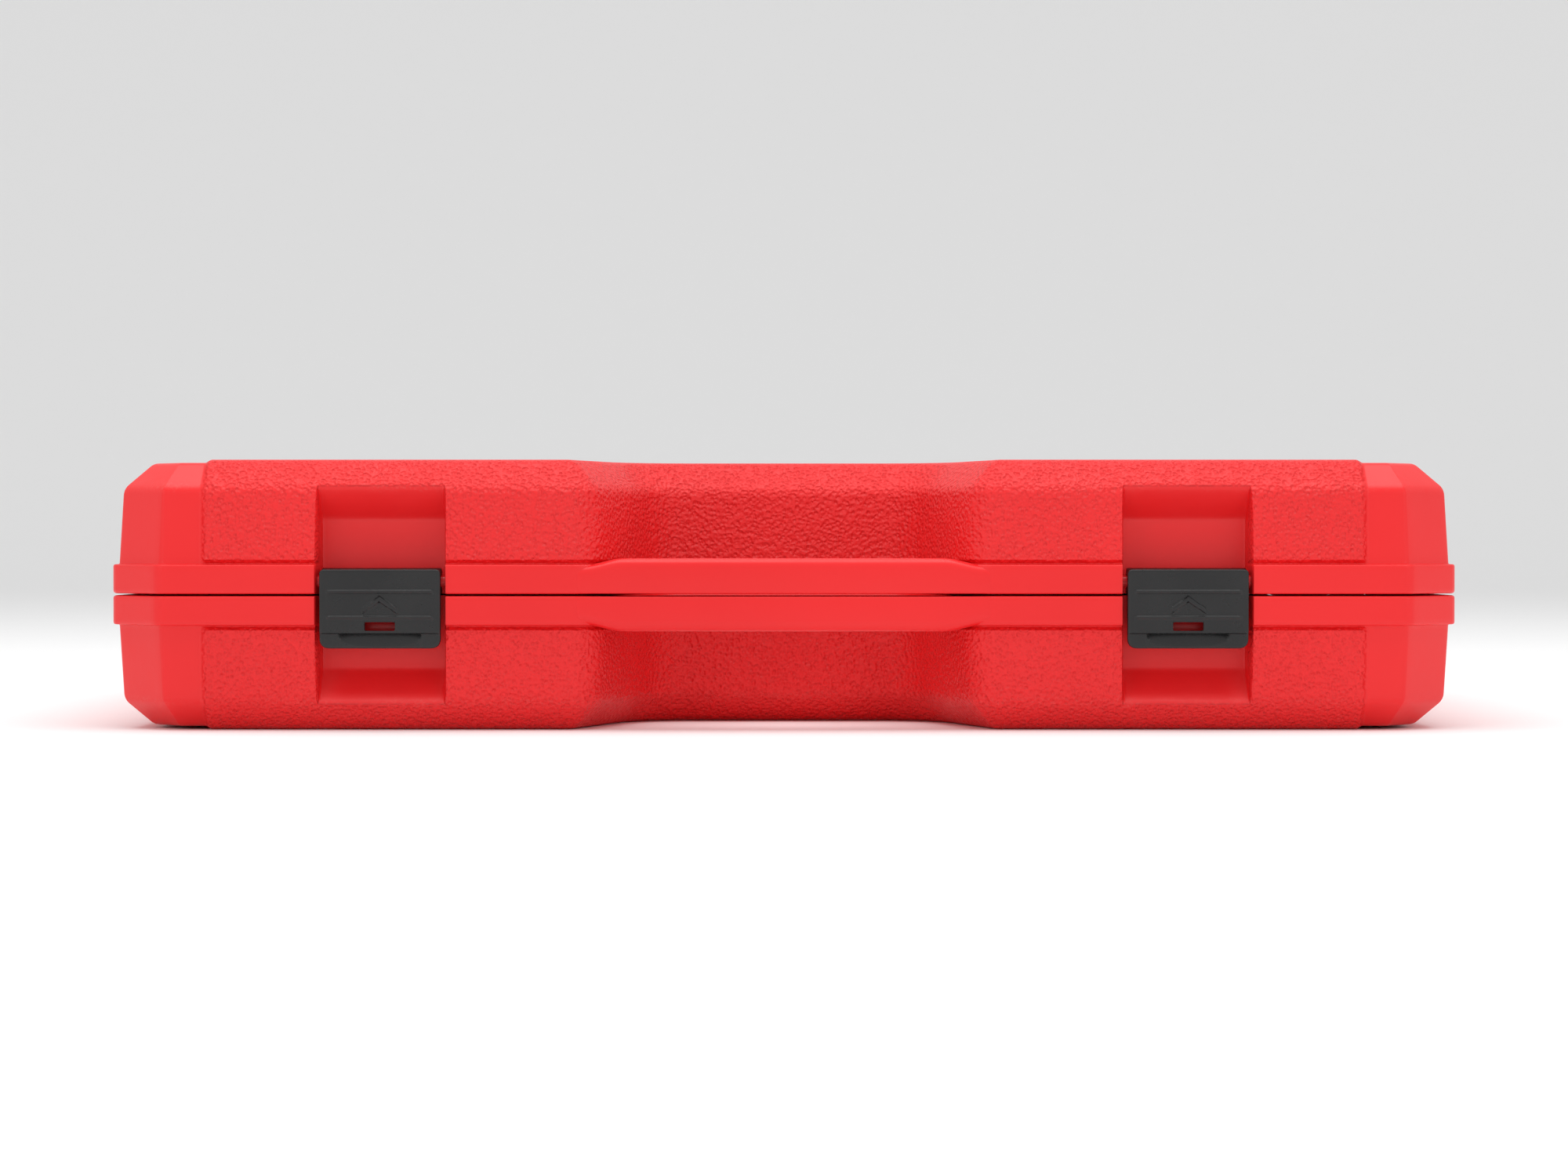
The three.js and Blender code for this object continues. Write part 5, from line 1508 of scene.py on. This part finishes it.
def universal_joint():
    yoke("universal_socket_yoke", 0, 39.4, 25.4)
    yoke("universal_drive_yoke", 66, 26.6, 40.6)
    low, high = millimetres("universal_cross")
    x, y, z = [(a + b) / 2 for a, b in zip(low, high)]
    pin = [(0, 0), (2.6, 0), (3, 0.4), (3, 22.6), (2.6, 23), (0, 23)]
    cube = block(x - 7, x + 7, y - 7, y + 7, z - 7, z + 7, 0.8)
    pins = [turned(pin, "x", (x - 11.5, y, z), 32), turned(pin, "z", (x, y, z - 11.5), 32)]
    mesh = joined("cross", [cube, *pins])
    show("universal_cross_detail", mesh, SATIN, "base", "chrome", "universal_cross", sharp=32)


for name in NODES:
    if "socket_" in name and "universal" not in name:
        socket(name)
    if name.startswith("extension"):
        extension(name)
    if name.startswith("cover_screw"):
        cover_screw(name)
ratchet_grip()
ratchet_body()
ratchet_cover()
release_button()
reversing_lever()
universal_joint()

# The gear and pawl are under the cover: the CAD's own pieces, with their edges broken.
for name, material, finish in (("drive_gear", CHROME, "chrome"), ("pawl", STEEL, "plain_steel")):
    part = frame["nodes"][name]
    part.data.materials.clear()
    part.data.materials.append(material)
    soften = part.modifiers.new("edges", "BEVEL")
    soften.width = 0.2 * MM
    soften.segments = 2
    soften.limit_method = "ANGLE"

# ------------------------------------------------------------------ stage, light and camera


def sweep():
    """A pale floor that curves up into a wall far behind."""
    rows = [(-4, 0), (3, 0)]
    rows += [(3 + 2 * math.sin(a), 2 - 2 * math.cos(a)) for a in np.linspace(0.1, math.pi / 2, 12)]
    rows += [(5, 6)]
    mesh = bpy.data.meshes.new("floor")
    points = [(x, y, z) for y, z in rows for x in (-5, 5)]
    faces = [(2 * i, 2 * i + 1, 2 * i + 3, 2 * i + 2) for i in range(len(rows) - 1)]
    mesh.from_pydata(points, [], faces)
    mesh.polygons.foreach_set("use_smooth", [True] * len(faces))
    floor = bpy.data.objects.new("floor", mesh)
    bpy.context.scene.collection.objects.link(floor)
    paper = bpy.data.materials.new("paper")
    paper.use_nodes = True
    paper.node_tree.nodes["Principled BSDF"].inputs["Base Color"].default_value = (0.9, 0.9, 0.9, 1)
    paper.node_tree.nodes["Principled BSDF"].inputs["Roughness"].default_value = 0.9
    mesh.materials.append(paper)


def lamp(name, place, aim, size, power):
    data = bpy.data.lights.new(name, "AREA")
    data.shape = "RECTANGLE"
    data.size, data.size_y = size
    data.energy = power
    made = bpy.data.objects.new(name, data)
    made.location = place
    made.rotation_euler = (Vector(aim) - Vector(place)).to_track_quat("-Z", "Y").to_euler()
    bpy.context.scene.collection.objects.link(made)


sweep()
lamp("overhead", (0, -0.2, 1.5), (0, 0, 0), (1.8, 1.2), 15.5)
lamp("front_left", (-1.4, -1.8, 0.9), (0, 0, 0.04), (0.9, 0.9), 2.5)
lamp("front_right", (1.4, -1.8, 0.9), (0, 0, 0.04), (0.9, 0.9), 2.5)

bpy.context.scene.view_settings.view_transform = "Standard"

WORLD = bpy.data.worlds.new("studio")
WORLD.use_nodes = True
WORLD.node_tree.nodes["Background"].inputs["Color"].default_value = (1, 1, 1, 1)
WORLD.node_tree.nodes["Background"].inputs["Strength"].default_value = 0.78
bpy.context.scene.world = WORLD

CAMERA_DISTANCE = 1.098  # from the front of the case
CAMERA_HEIGHT = 0.017  # above the parting plane
FIELD_OF_VIEW = math.radians(25)


def camera():
    data = bpy.data.cameras.new("camera")
    data.sensor_width = 36
    data.lens = data.sensor_width / 2 / math.tan(FIELD_OF_VIEW / 2)
    made = bpy.data.objects.new("camera", data)
    made.location = (0, CAD_BOX[0][1] - CAMERA_DISTANCE, PARTING * MM + CAMERA_HEIGHT)
    aim = Vector((0, 0, PARTING * MM))
    made.rotation_euler = (aim - made.location).to_track_quat("-Z", "Y").to_euler()
    bpy.context.scene.collection.objects.link(made)
    bpy.context.scene.camera = made


camera()
